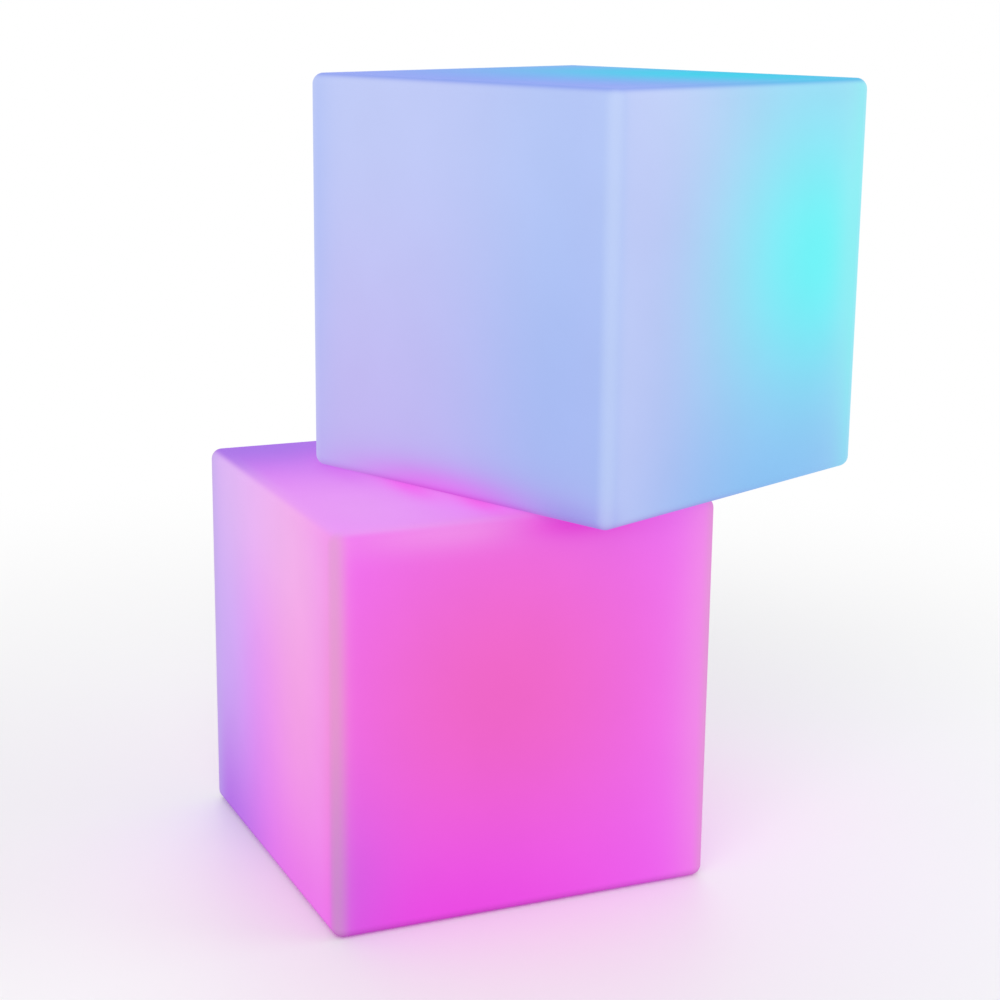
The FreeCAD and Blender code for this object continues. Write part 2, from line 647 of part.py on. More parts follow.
def battery_cells():
    return [
        disc(CELL_RADIUS, CELL_LENGTH, x, y, CELL_LOW)
        .fuse(disc(CELL_NUB_RADIUS, CELL_NUB_HEIGHT, x, y, CELL_LOW + CELL_LENGTH))
        .removeSplitter()
        for x, y in cell_places()
    ]


def battery_cradle():
    solid = rounded_block(CRADLE_LENGTH, CRADLE_WIDTH, CRADLE_HEIGHT, CRADLE_CORNER, 0, CELL_ROW_Y, FLOOR_TOP)
    for x, y in cell_places():
        solid = solid.cut(disc(CELL_RADIUS + CELL_GAP, CRADLE_HEIGHT, x, y, CELL_LOW))
    for x, y in rod_places():
        solid = solid.cut(disc(ROD_PEG_RADIUS + SLIP, ROD_PEG_HEIGHT + SLIP, x, y, FLOOR_TOP))
        solid = solid.cut(disc(ROD_RADIUS + HOLE_GAP, CRADLE_HEIGHT, x, y, FLOOR_TOP))
    return solid


def cradle_cap():
    height = CAP_TOP - CAP_LOW
    solid = rounded_block(CRADLE_LENGTH, CRADLE_WIDTH, height, CRADLE_CORNER, 0, CELL_ROW_Y, CAP_LOW)
    for x, y in cell_places():
        solid = solid.cut(disc(CELL_RADIUS + CELL_GAP, CAP_GRIP, x, y, CAP_LOW))
    for x, y in rod_places():
        solid = solid.cut(disc(ROD_RADIUS + HOLE_GAP, height, x, y, CAP_LOW))
    return solid


def cradle_rods():
    """Two long screws that clamp cap, cells and cradle to the hatch."""
    length = CAP_TOP - FLOOR_TOP
    return [
        screw(ROD_RADIUS, SMALL_HEAD_RADIUS, SMALL_HEAD_HEIGHT, length, x, y, CAP_TOP, pointing=-1)
        for x, y in rod_places()
    ]


# ---- lamp post, boards and dome ----
def post_foot():
    """Cast shoe: an eared floor and a square socket round the post."""
    socket_width = POST_WIDTH + 2 * (FOOT_GAP + FOOT_SOCKET_WALL)
    floor = rounded_block(FOOT_LENGTH, FOOT_EAR_WIDTH, FOOT_FLOOR, FOOT_SOCKET_WALL, 0, 0, PAD_TOP)
    height = FOOT_FLOOR + FOOT_SOCKET_HEIGHT
    socket = rounded_block(socket_width, socket_width, height, FOOT_SOCKET_WALL, 0, 0, PAD_TOP)
    hole = block(POST_WIDTH + 2 * FOOT_GAP, POST_WIDTH + 2 * FOOT_GAP, FOOT_SOCKET_HEIGHT, 0, 0, POST_LOW)
    solid = floor.fuse(socket).cut(hole)
    for x in (-FOOT_SCREW_X, FOOT_SCREW_X):
        solid = solid.cut(disc(SMALL_SCREW_RADIUS + HOLE_GAP, FOOT_FLOOR, x, 0, PAD_TOP))
    return solid.removeSplitter()


def foot_screws():
    return [
        screw(
            SMALL_SCREW_RADIUS,
            SMALL_HEAD_RADIUS,
            SMALL_HEAD_HEIGHT,
            FOOT_FLOOR + PAD_HEIGHT,
            x,
            0,
            POST_LOW,
            pointing=-1,
        )
        for x in (-FOOT_SCREW_X, FOOT_SCREW_X)
    ]


def lamp_post():
    """Drawn aluminium box that holds the lamp boards up and takes their heat."""
    height = POST_TOP - POST_LOW
    solid = rounded_block(POST_WIDTH, POST_WIDTH, height, POST_CORNER, 0, 0, POST_LOW)
    return solid.cut(disc(POST_BORE_RADIUS, height, 0, 0, POST_LOW))


def round_the_post(solid):
    """Four copies of a piece, one for each side of the post."""
    copies = []
    for i in range(4):
        copy = solid.copy()
        copy.rotate(Vector(0, 0, 0), Vector(0, 0, 1), 90 * i)
        copies.append(copy)
    return copies


def lamp_boards():
    side = block(
        LAMP_BOARD_WIDTH,
        LAMP_BOARD_THICKNESS,
        LAMP_BOARD_LENGTH,
        0,
        -POST_WIDTH / 2 - LAMP_BOARD_THICKNESS / 2,
        LAMP_BOARD_LOW,
    )
    top = block(LAMP_BOARD_WIDTH, LAMP_BOARD_WIDTH, LAMP_BOARD_THICKNESS, 0, 0, POST_TOP)
    return round_the_post(side) + [top]


def lamp_leds():
    leds = []
    middle = LAMP_BOARD_LOW + LAMP_BOARD_LENGTH / 2
    for i in range(LEDS_PER_BOARD):
        low = middle + (i - (LEDS_PER_BOARD - 1) / 2) * LED_PITCH - LED_SIZE / 2
        led = block(LED_SIZE, LED_HEIGHT, LED_SIZE, 0, -LAMP_FACE - LED_HEIGHT / 2, low)
        leds += round_the_post(led)
    half = TOP_LED_SPACING / 2
    top = POST_TOP + LAMP_BOARD_THICKNESS
    leds += [block(LED_SIZE, LED_SIZE, LED_HEIGHT, x, y, top) for x in (-half, half) for y in (-half, half)]
    return leds


def lamp_dome():
    """Frosted tube with a closed, rounded end and a flange."""

    def rounded_bar(radius, high, corner):
        bar = disc(radius, high - DOME_LOW, 0, 0, DOME_LOW)
        return bar.makeFillet(corner, [e for e in bar.Edges if e.BoundBox.ZMin > high - 1e-6])

    outer = rounded_bar(DOME_RADIUS, DOME_TOP, DOME_ROUND)
    inner = rounded_bar(DOME_RADIUS - DOME_WALL, DOME_TOP - DOME_WALL, DOME_ROUND - DOME_WALL)
    flange = disc(DOME_FLANGE_RADIUS, DOME_FLANGE, 0, 0, DOME_LOW)
    return outer.fuse(flange).cut(inner).removeSplitter()


def dome_collar():
    """Ring pushed on the post, with a hub below and a lip round the dome's flange."""
    lip_radius = DOME_FLANGE_RADIUS + SLIP
    hub_low = COLLAR_LOW - COLLAR_HUB_HEIGHT
    hub_width = POST_WIDTH + 2 * (SLIP + COLLAR_HUB_WALL)
    plate = disc(lip_radius + COLLAR_LIP, COLLAR_THICKNESS + DOME_FLANGE, 0, 0, COLLAR_LOW)
    hub = block(hub_width, hub_width, COLLAR_HUB_HEIGHT, 0, 0, hub_low)
    solid = plate.fuse(hub).cut(disc(lip_radius, DOME_FLANGE, 0, 0, DOME_LOW))
    hole = POST_WIDTH + 2 * SLIP
    through = DOME_LOW - hub_low
    solid = solid.cut(block(hole, hole, through, 0, 0, hub_low))
    lead_hole = disc(COLLAR_LEAD_HOLE, through, 0, LAMP_LEAD_Y, hub_low)
    return solid.cut(lead_hole).removeSplitter()


# ---- leads ----
def tube(points):
    """A lead along straight runs joined by arcs as large as the runs allow."""
    edges = []
    start = points[0]
    for before, here, after in zip(points, points[1:], points[2:]):
        back = (before - here).normalize()
        ahead = (after - here).normalize()
        turn = math.pi - back.getAngle(ahead)
        room = BEND_SHARE * min(before.distanceToPoint(here), here.distanceToPoint(after))
        radius = room / math.tan(turn / 2)
        print(f"  bend radius {radius:.1f}")
        enter = here + back * room
        leave = here + ahead * room
        centre = here + (back + ahead).normalize() * (room / math.sin(turn / 2))
        middle = centre + (here - centre).normalize() * radius
        edges.append(Part.makeLine(start, enter))
        edges.append(Part.Arc(enter, middle, leave).toShape())
        start = leave
    edges.append(Part.makeLine(start, points[-1]))
    path = Part.Wire(edges)
    direction = (points[1] - points[0]).normalize()
    section = Part.Wire(Part.makeCircle(LEAD_RADIUS, points[0], direction))
    return path.makePipeShell([section], True, False)


def battery_lead():
    """From the cap of the cells down to the board's left connector."""
    x = -LEAD_PLUG_X
    start_y = CELL_ROW_Y - CRADLE_WIDTH / 2
    return tube(
        [
            Vector(x, start_y, LEAD_HEIGHT),
            Vector(x, LEAD_RUN_Y, LEAD_HEIGHT),
            Vector(x, LEAD_PLUG_Y, LEAD_HEIGHT - LEAD_DROP),
            Vector(x, LEAD_PLUG_Y, BOARD_TOP + PLUG_HEIGHT),
        ]
    )


def lamp_lead():
    """From the board's right connector up through the collar to a plug on the front lamp board."""
    plug_top = BOARD_TOP + PLUG_HEIGHT
    bend = plug_top + LAMP_LEAD_RISE
    route = tube(
        [
            Vector(LEAD_PLUG_X, LEAD_PLUG_Y, plug_top),
            Vector(LEAD_PLUG_X, LEAD_PLUG_Y, bend),
            Vector(0, LAMP_LEAD_Y, bend + LAMP_LEAD_SLOPE),
            Vector(0, LAMP_LEAD_Y, LAMP_BOARD_LOW),
        ]
    )
    plug_depth = 2 * (-LAMP_LEAD_Y - LAMP_FACE)
    plug = block(LAMP_PLUG_WIDTH, plug_depth, LAMP_PLUG_HEIGHT, 0, LAMP_LEAD_Y, LAMP_BOARD_LOW)
    return route.fuse(plug).removeSplitter()


# ---- every sub-part of one light, by name ----
PIECES = {
    "shell": shell,
    "inserts": inserts,
    "hatch": hatch,
    "hatch_seal": hatch_seal,
    "hatch_screws": hatch_screws,
    "power_button": power_button,
    "switch_plunger": switch_plunger,
    "power_switch": power_switch,
    "charge_socket": charge_socket,
    "charge_flap": charge_flap,
    "flap_pin": flap_pin,
    "indicator_lens": indicator_lens,
    "control_board": control_board,
    "board_parts": board_parts,
    "board_screws": board_screws,
    "remote_receiver": remote_receiver,
    "battery_cradle": battery_cradle,
    "battery_cells": battery_cells,
    "cradle_cap": cradle_cap,
    "cradle_rods": cradle_rods,
    "battery_lead": battery_lead,
    "post_foot": post_foot,
    "foot_screws": foot_screws,
    "lamp_post": lamp_post,
    "lamp_boards": lamp_boards,
    "lamp_leds": lamp_leds,
    "lamp_dome": lamp_dome,
    "dome_collar": dome_collar,
    "lamp_lead": lamp_lead,
}


def place(light):
    """Where a light's underside centre stands."""
    if light == "lower":
        return FreeCAD.Placement()
    turn = FreeCAD.Rotation(Vector(0, 0, 1), UPPER_TURN)
    return FreeCAD.Placement(Vector(UPPER_SHIFT_X, UPPER_SHIFT_Y, SIDE), turn)


def main():
    os.makedirs("parts", exist_ok=True)
    for name, make in PIECES.items():
        made = make()
        shape = Part.makeCompound(made) if isinstance(made, list) else made
        for light in ("lower", "upper"):
            node = shape.copy()
            node.Placement = place(light).multiply(node.Placement)
            node.exportStep(f"parts/{light}_{name}.step")
        print(f"{name}: {len(shape.Solids)} solid(s), {shape.Volume:.0f} mm3, valid {shape.isValid()}")


main()
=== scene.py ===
"""Two led cube lights, one stood askew on the other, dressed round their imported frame."""
import logging
import math
from collections.abc import Callable
from dataclasses import dataclass, replace
from enum import Enum
from functools import cache

import bmesh
import bpy
from mathutils import Matrix, Vector


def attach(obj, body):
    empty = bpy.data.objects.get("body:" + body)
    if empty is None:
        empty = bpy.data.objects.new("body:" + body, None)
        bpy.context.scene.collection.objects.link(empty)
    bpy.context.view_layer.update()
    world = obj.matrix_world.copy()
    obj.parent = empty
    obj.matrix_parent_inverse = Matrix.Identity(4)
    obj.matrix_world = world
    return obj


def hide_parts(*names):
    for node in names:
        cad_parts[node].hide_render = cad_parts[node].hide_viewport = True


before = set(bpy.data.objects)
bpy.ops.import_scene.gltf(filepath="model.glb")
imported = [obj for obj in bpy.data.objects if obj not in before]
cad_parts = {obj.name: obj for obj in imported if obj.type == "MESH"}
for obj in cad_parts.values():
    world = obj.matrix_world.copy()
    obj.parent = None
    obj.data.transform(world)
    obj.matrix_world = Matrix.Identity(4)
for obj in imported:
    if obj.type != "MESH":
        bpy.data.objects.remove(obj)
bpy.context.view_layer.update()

log = logging.getLogger("cube_lights")
MM = 0.001
FULL_TURN = 2 * math.pi
CREASE = math.radians(35)

Point = tuple[float, float, float]
Tree = bpy.types.NodeTree
Socket = bpy.types.NodeSocket
Links = dict[str | int, Socket]
ORIGIN: Point = (0.0, 0.0, 0.0)
UP: Point = (0.0, 0.0, 1.0)
DOWN: Point = (0.0, 0.0, -1.0)
CORNERS = ((1, 1), (-1, 1), (-1, -1), (1, -1))
# The Mix node gives several sockets one name, so its two colours and its result go by number.
MIX_UNDER, MIX_OVER, MIXED = 6, 7, 2


def linear(code: str) -> tuple[float, float, float, float]:
    """Turn an sRGB hex colour into linear light.

    Args:
        code: six hex digits, with or without a leading hash.

    Returns:
        Linear red, green, blue and an alpha of 1.
    """
    digits = code.lstrip("#")
    parts = [int(digits[i:i + 2], 16) / 255 for i in (0, 2, 4)]
    red, green, blue = (p / 12.92 if p <= 0.04045 else ((p + 0.055) / 1.055) ** 2.4 for p in parts)
    return red, green, blue, 1.0


def connect(node: bpy.types.Node, settings: dict, links: Links) -> None:
    """Set a node's options and sockets, and link what feeds it.

    Args:
        node: the node.
        settings: options by attribute name, or socket values by the input's name or number.
        links: output sockets by the name or number of the input that each feeds.
    """
    for key, value in settings.items():
        if isinstance(key, str) and hasattr(node, key):
            setattr(node, key, value)
        else:
            node.inputs[key].default_value = value
    for key, socket in links.items():
        node.id_data.links.new(socket, node.inputs[key])


def add_node(tree: Tree, kind: str, settings: dict, links: Links) -> bpy.types.NodeOutputs:
    """Add a node with its settings and links.

    Args:
        tree: the node tree that it joins.
        kind: Blender's name for the node type, after its first word, ShaderNode.
        settings: options by attribute name, or socket values by the input's name or number.
        links: output sockets by the name or number of the input that each feeds.

    Returns:
        The new node's outputs.
    """
    node = tree.nodes.new(f"ShaderNode{kind}")
    connect(node, settings, links)
    return node.outputs


def link_object(name: str, data: bpy.types.ID) -> bpy.types.Object:
    """Make an object that shows a mesh, lamp or camera, and put it in the scene."""
    bpy.context.scene.collection.objects.link(bpy.data.objects.new(name, data))
    return bpy.data.objects[name]


class Place(Enum):
    """Which light of the pair: its name's prefix, its shift in metres and its turn about Z in degrees."""

    LOWER = ("lower", (0.0, 0.0, 0.0), 0.0)
    UPPER = ("upper", (0.140, -0.021, 0.400), 23.3)

    @property
    def prefix(self) -> str:
        """The light's prefix in the names of its nodes and bodies."""
        return self.value[0]

    @property
    def shift(self) -> Point:
        """Where the middle of its underside stands."""
        return self.value[1]

    @property
    def turn(self) -> float:
        """Its turn about Z, in radians."""
        return math.radians(self.value[2])

    @property
    def matrix(self) -> Matrix:
        """From the light's own axes to the pair's."""
        return Matrix.Translation(self.shift) @ Matrix.Rotation(self.turn, 4, "Z")


# ---- finishes ----
@dataclass(frozen=True)
class Finish:
    """A plain surface: two near shades in soft patches, a fine grain in relief and a wandering roughness."""

    name: str
    colour: str
    shade: str
    roughness: float
    patch_mm: float = 12.0
    grain_mm: float = 0.6
    grain_depth_mm: float = 0.02
    stretch: Point = (1.0, 1.0, 1.0)
    metallic: float = 0.0
    ior: float = 1.5
    roughness_swing: float = 0.06
    least_roughness: float = 0.02
    patch_detail: float = 3.0
    grain_detail: float = 2.0

    @cache
    def material(self) -> bpy.types.Material:
        """Build the material, at its first use only.

        Returns:
            The material, named for the finish.
        """
        material = bpy.data.materials.new(self.name)
        material.use_nodes = True
        tree = material.node_tree
        where = add_node(tree, "TexCoord", {}, {})["Object"]
        connect(tree.nodes["Principled BSDF"], self.constants(), self.dress(tree, where))
        return material

    def constants(self) -> dict[str, float]:
        """What is the same all over the surface, by the shader's input."""
        return {"Metallic": self.metallic, "IOR": self.ior}

    def dress(self, tree: Tree, where: Socket) -> Links:
        """Lay out the colour, roughness and relief.

        Args:
            tree: the material's nodes.
            where: the position on the object.

        Returns:
            What feeds each input of the surface shader.
        """
        along = add_node(tree, "Mapping", {"Scale": self.stretch}, {"Vector": where})[0]
        patches = self.patches(tree, along)
        colours = {"data_type": "RGBA", MIX_UNDER: linear(self.colour), MIX_OVER: linear(self.shade)}
        colour = add_node(tree, "Mix", colours, {0: patches})[MIXED]
        return {"Base Color": colour, **self.texture(tree, patches, self.grain(tree, along))}

    def patches(self, tree: Tree, where: Socket) -> Socket:
        """Broad soft patches, from 0 to 1."""
        settings = {"Scale": 1 / (self.patch_mm * MM), "Detail": self.patch_detail}
        return add_node(tree, "TexNoise", settings, {"Vector": where})[0]

    def grain(self, tree: Tree, where: Socket) -> Socket:
        """The fine grain's height, from 0 to 1."""
        settings = {"Scale": 1 / (self.grain_mm * MM), "Detail": self.grain_detail}
        return add_node(tree, "TexNoise", settings, {"Vector": where})[0]

    def texture(self, tree: Tree, patches: Socket, height: Socket) -> Links:
        """Let the roughness wander either side of its own value, and raise the grain by its real depth.

        Args:
            tree: the material's nodes.
            patches: what the roughness follows, from 0 to 1.
            height: the relief, from 0 to 1.

        Returns:
            What feeds the surface shader's roughness and normal.
        """
        low = max(self.roughness - self.roughness_swing, self.least_roughness)
        limits = {"To Min": low, "To Max": self.roughness + self.roughness_swing}
        bump = {"Distance": self.grain_depth_mm * MM, "Strength": 1.0}
        return {
            "Roughness": add_node(tree, "MapRange", limits, {"Value": patches})[0],
            "Normal": add_node(tree, "Bump", bump, {"Height": height})[0],
        }


@dataclass(frozen=True)
class Metal(Finish):
    """A bare metal surface."""

    metallic: float = 1.0


@dataclass(frozen=True)
class TrackedMask(Finish):
    """Solder mask screened over etched copper, whose tracks show in the shade and stand a hair proud."""

    track_mm: float = 0.35
    track_blur: float = 0.2
    run_mm: float = 6.0
    row_mm: float = 1.6
    patch_detail: float = 1.0
    laid_from: float = 0.46
    laid_to: float = 0.5

    def dress(self, tree: Tree, where: Socket) -> Links:
        """Lay tracks in patches under the mask.

        Args:
            tree: the material's nodes.
            where: the position on the object.

        Returns:
            What feeds each input of the surface shader.
        """
        bricks = {"Mortar Size": self.track_mm / 2, "Mortar Smooth": self.track_blur}
        settings = {"Scale": 1 / MM, "Brick Width": self.run_mm, "Row Height": self.row_mm, **bricks}
        runs = add_node(tree, "TexBrick", settings, {"Vector": where})["Fac"]
        limits = {"From Min": self.laid_from, "From Max": self.laid_to}
        laid = add_node(tree, "MapRange", limits, {"Value": self.patches(tree, where)})[0]
        tracks = add_node(tree, "Math", {"operation": "MULTIPLY"}, {0: runs, 1: laid})[0]
        colours = {"data_type": "RGBA", MIX_UNDER: linear(self.colour), MIX_OVER: linear(self.shade)}
        colour = add_node(tree, "Mix", colours, {0: tracks})[MIXED]
        return {"Base Color": colour, **self.texture(tree, laid, tracks)}


@dataclass(frozen=True)
class Lobe:
    """One patch of coloured lamp light on the skin, in the light's own axes, in metres."""

    middle: Point
    spread: Point
    colour: str
    strength: float = 1.0


@dataclass(frozen=True)
class GlowingPolyethylene(Finish):
    """Rotomoulded milky polyethylene, lit from inside.

    The wall scatters the lamps' light, so what the eye gets is broad, blurred patches of each diode's colour,
    with a satin skin over them. The rounded upright edges are duller: partly the thicker wall, as plastic
    gathers in the mould's corners, and partly a painted sheen of the room's light on their rounding. The
    colour is that of the light between the patches, and the shade that of the upright edges, painted sheen
    included.
    """

    roughness: float = 0.8
    patch_mm: float = 25.0
    grain_mm: float = 3.0
    place: Place = Place.LOWER
    lobes: tuple[Lobe, ...] = ()
    half_side: float = 0.2
    # the upright edges' shade: partly their thicker wall, partly a painted sheen of the room's light
    edge_sheen_share: float = 0.4
    edge_sheen_reach: float = 0.017
    # painted shadow of the ground round the foot: its colour, share, reach and the outer band of the
    # underside
    foot_shadow_colour: str = "000000"
    foot_shadow_share: float = 0.0
    foot_shadow_reach: float = 0.012
    foot_shadow_band: tuple[float, float] = (0.8, 0.95)  # of half the side
    wall_mm: float = 70.0
    wall_swing: float = 0.03
    # share of the lamp light painted into the skin's base colour; the unlit skin is milky white
    painted_lamp_light_share: float = 0.3
    gloss: float = 0.06

    def constants(self) -> dict[str, float]:
        """What is the same all over the surface, by the shader's input."""
        return super().constants() | {"Emission Strength": 1.0, "Specular IOR Level": self.gloss}

    def dress(self, tree: Tree, where: Socket) -> Links:
        """Let the lamps' light through the wall, and paint a share of it into the moulded skin's base colour.

        Args:
            tree: the material's nodes.
            where: the position on the object.

        Returns:
            What feeds each input of the surface shader.
        """
        axes = {"Location": self.place.shift, "Rotation": (0.0, 0.0, self.place.turn)}
        own = add_node(tree, "Mapping", {"vector_type": "TEXTURE", **axes}, {"Vector": where})[0]
        light = self.paint_edge_sheen_and_foot_shadow(tree, own, self.lamp_light(tree, own))
        settings = {"Scale": 1 / (self.wall_mm * MM), "Detail": self.grain_detail}
        wall = add_node(tree, "TexNoise", settings, {"Vector": own})[0]
        through = 1 - self.painted_lamp_light_share
        limits = {"To Min": through * (1 - self.wall_swing), "To Max": through * (1 + self.wall_swing)}
        share = add_node(tree, "MapRange", limits, {"Value": wall})[0]
        # painted lamp light: the base colour takes a share of the light, and the emission the rest
        settings = {"operation": "SCALE", "Scale": self.painted_lamp_light_share}
        return {
            "Base Color": add_node(tree, "VectorMath", settings, {0: light})[0],
            "Emission Color": add_node(tree, "VectorMath", settings, {0: light, "Scale": share})[0],
            **self.texture(tree, self.patches(tree, own), self.grain(tree, own)),
        }

    def lamp_light(self, tree: Tree, own: Socket) -> Socket:
        """Lay each lamp's patch over what came before it, fading as a bell curve.

        Args:
            tree: the material's nodes.
            own: the position in the light's own axes.

        Returns:
            The light that comes through a wall of even thickness.
        """
        before: Links = {}
        for lobe in self.lobes:
            away = add_node(tree, "VectorMath", {"operation": "SUBTRACT", 1: lobe.middle}, {0: own})[0]
            away = add_node(tree, "VectorMath", {"operation": "DIVIDE", 1: lobe.spread}, {0: away})[0]
            square = add_node(tree, "VectorMath", {"operation": "DOT_PRODUCT"}, {0: away, 1: away})["Value"]
            bell = add_node(tree, "Math", {"operation": "POWER", 0: 1 / math.e}, {1: square})[0]
            share = add_node(tree, "Math", {"operation": "MULTIPLY", 1: lobe.strength}, {0: bell})[0]
            colours = {"data_type": "RGBA", MIX_UNDER: linear(self.colour), MIX_OVER: linear(lobe.colour)}
            before = {MIX_UNDER: add_node(tree, "Mix", colours, {0: share, **before})[MIXED]}
        return before[MIX_UNDER]

    def paint_edge_sheen_and_foot_shadow(self, tree: Tree, own: Socket, light: Socket) -> Socket:
        """Lay a painted sheen over the upright edges, whose wall is also thickest, and a painted shadow on
        the foot.

        Args:
            tree: the material's nodes.
            own: the position in the light's own axes.
            light: the light through a wall of even thickness.

        Returns:
            The light with the painted sheen on its edges and the painted shadow on its foot.
        """
        smooth = {"interpolation_type": "SMOOTHSTEP"}
        times = {"operation": "MULTIPLY"}
        out = add_node(tree, "VectorMath", {"operation": "ABSOLUTE"}, {0: own})[0]
        axes = add_node(tree, "SeparateXYZ", {}, {0: out})
        # painted sheen on the rounded upright edges, where the wall is also thicker
        limits = {"From Min": self.half_side - self.edge_sheen_reach, "From Max": self.half_side}
        near = [add_node(tree, "MapRange", smooth | limits, {"Value": axes[name]})[0] for name in "XY"]
        both = add_node(tree, "Math", times, {0: near[0], 1: near[1]})[0]
        edge = add_node(tree, "Math", times | {1: self.edge_sheen_share}, {0: both})[0]
        # painted shadow of the ground on the foot, kept to the outer band of the underside
        limits = {"From Min": self.foot_shadow_reach, "From Max": 0.0, "To Max": self.foot_shadow_share}
        low = add_node(tree, "MapRange", smooth | limits, {"Value": axes["Z"]})[0]
        outer = add_node(tree, "Math", {"operation": "MAXIMUM"}, {0: axes["X"], 1: axes["Y"]})[0]
        start, end = (self.half_side * share for share in self.foot_shadow_band)
        outer = add_node(tree, "MapRange", smooth | {"From Min": start, "From Max": end}, {"Value": outer})[0]
        foot = add_node(tree, "Math", times, {0: low, 1: outer})[0]
        for share, colour in ((edge, self.shade), (foot, self.foot_shadow_colour)):
            settings = {"data_type": "RGBA", MIX_OVER: linear(colour)}
            light = add_node(tree, "Mix", settings, {0: share, MIX_UNDER: light})[MIXED]
        return light


# Lamps in the lower light: magenta and pink, with violet round the far corner of its side.
LOWER_GLOW = GlowingPolyethylene(
    name="rotomoulded_polyethylene_pink",
    colour="F174FF",
    # shade of the upright edges: duller, partly the thicker wall and partly a painted sheen
    shade="C8A5B4",
    place=Place.LOWER,
    lobes=(
        # front board
        Lobe((-0.03, -0.2, 0.22), (0.21, 0.03, 0.22), "F068C7"),
        Lobe((0.22, -0.2, 0.23), (0.05, 0.03, 0.32), "F294E8", 0.85),
        Lobe((-0.1, -0.2, -0.05), (0.29, 0.03, 0.16), "EA3EE2", 0.9),
        # left board
        Lobe((-0.2, -0.1, 0.24), (0.013, 0.14, 0.35), "FFC4C6", 0.45),
        Lobe((-0.2, 0.16, 0.22), (0.013, 0.13, 0.45), "C2BCF6", 0.7),
        Lobe((-0.2, -0.12, -0.04), (0.013, 0.16, 0.12), "F070EE", 0.8),
        Lobe((-0.2, 0.18, -0.03), (0.013, 0.17, 0.13), "A046E0", 0.7),
        Lobe((-0.2, 0.03, 0.38), (0.013, 0.2, 0.12), "F3D7F5", 0.45),
        # back and right boards
        Lobe((-0.2, 0.2, 0.2), (0.14, 0.03, 0.45), "BDB6F0", 0.7),
        Lobe((0.05, 0.2, 0.21), (0.16, 0.03, 0.2), "F078D2", 0.8),
        Lobe((0.2, -0.2, 0.23), (0.03, 0.09, 0.32), "F294E8", 0.6),
        Lobe((0.2, 0.04, 0.2), (0.03, 0.16, 0.2), "F06ACC", 0.8),
        # top board
        Lobe((-0.14, -0.11, 0.4), (0.17, 0.24, 0.003), "EC9EF6"),
        Lobe((-0.16, 0.19, 0.4), (0.24, 0.14, 0.003), "AC76E8"),
        # painted contact shade and reflection where the upper light's foot lies along this top
        Lobe((-0.105, 0.05, 0.4), (0.018, 0.06, 0.003), "DE70F0", 0.4),
        Lobe((-0.065, -0.04, 0.4), (0.018, 0.06, 0.003), "FA58F0", 0.6),
        Lobe((-0.025, -0.13, 0.4), (0.018, 0.05, 0.003), "FA58E8", 0.6),
        # a painted highlight along the front rim, and painted shade at the foot of the front left edge
        Lobe((-0.075, -0.2, 0.393), (0.11, 0.014, 0.018), "F29CEC", 0.62),
        Lobe((-0.2, -0.2, 0.04), (0.012, 0.012, 0.13), "B294C2", 0.4),
        Lobe((-0.19, -0.2, 0.04), (0.05, 0.012, 0.11), "B464DC", 0.35),
        # painted reflection: the upper light's foot throws the lamps back on this edge
        Lobe((0.05, -0.2, 0.39), (0.065, 0.02, 0.016), "E83CD8", 0.85),
    ),
    # painted shadow of the ground on the foot
    foot_shadow_colour="7A3478",
    foot_shadow_share=0.4,
)

# Lamps in the upper light: periwinkle and cyan, with a painted reflection of the lower light's pink under one
# side.
UPPER_GLOW = GlowingPolyethylene(
    name="rotomoulded_polyethylene_blue",
    colour="C4BAF3",
    # shade of the upright edges: paler, mostly a painted sheen of the room's light
    shade="D7E1FA",
    place=Place.UPPER,
    lobes=(
        # front board
        Lobe((0.13, -0.2, 0.225), (0.2, 0.03, 0.2), "62FAF8", 0.92),
        Lobe((0.22, -0.2, 0.23), (0.05, 0.03, 0.4), "BDE9EF", 0.85),
        Lobe((0.05, -0.2, -0.04), (0.23, 0.03, 0.16), "6EBDF2", 0.7),
        Lobe((-0.14, -0.2, 0.4), (0.12, 0.03, 0.09), "D2E2FF", 0.4),
        Lobe((0.1, -0.2, 0.42), (0.2, 0.03, 0.1), "84ECF8", 0.3),
        Lobe((-0.2, -0.2, 0.22), (0.07, 0.013, 0.34), "BCD0F8", 0.65),
        # left board
        Lobe((-0.2, -0.14, 0.18), (0.013, 0.13, 0.54), "9CBAF3", 0.8),
        Lobe((-0.2, 0.17, 0.39), (0.013, 0.5, 0.23), "C1D4FB", 0.7),
        # painted reflection: the lower light's pink on the foot of this side
        Lobe((-0.2, -0.01, -0.02), (0.013, 0.15, 0.04), "C74FF1", 0.8),
        Lobe((-0.2, 0.02, 0.0), (0.06, 0.1, 0.022), "E87CF4", 0.9),
        # painted reflection of the lower light's top, and a painted contact shadow, on the foot that lies on
        # it
        Lobe((-0.2, 0.01, 0.0), (0.03, 0.2, 0.005), "CC40CC", 0.6),
        Lobe((-0.12, -0.2, 0.0), (0.12, 0.03, 0.005), "9C54CC", 0.5),
        Lobe((-0.2, -0.16, 0.0), (0.02, 0.05, 0.02), "8880DC", 0.45),
        # back and right boards
        Lobe((-0.1, 0.2, 0.28), (0.2, 0.03, 0.24), "A9BEF8", 0.7),
        Lobe((0.18, 0.2, 0.14), (0.16, 0.03, 0.2), "88DAF4", 0.7),
        Lobe((0.2, -0.12, 0.23), (0.03, 0.2, 0.26), "7CF2F6", 0.85),
        # top board
        Lobe((0.0, 0.0, 0.4), (0.6, 0.6, 0.003), "8C9EF0"),
        Lobe((0.13, -0.06, 0.4), (0.19, 0.24, 0.003), "30CCE8"),
    ),
    # the painted edge sheen: how strongly, and how far in from the edge
    edge_sheen_share=0.35,
    edge_sheen_reach=0.016,
)

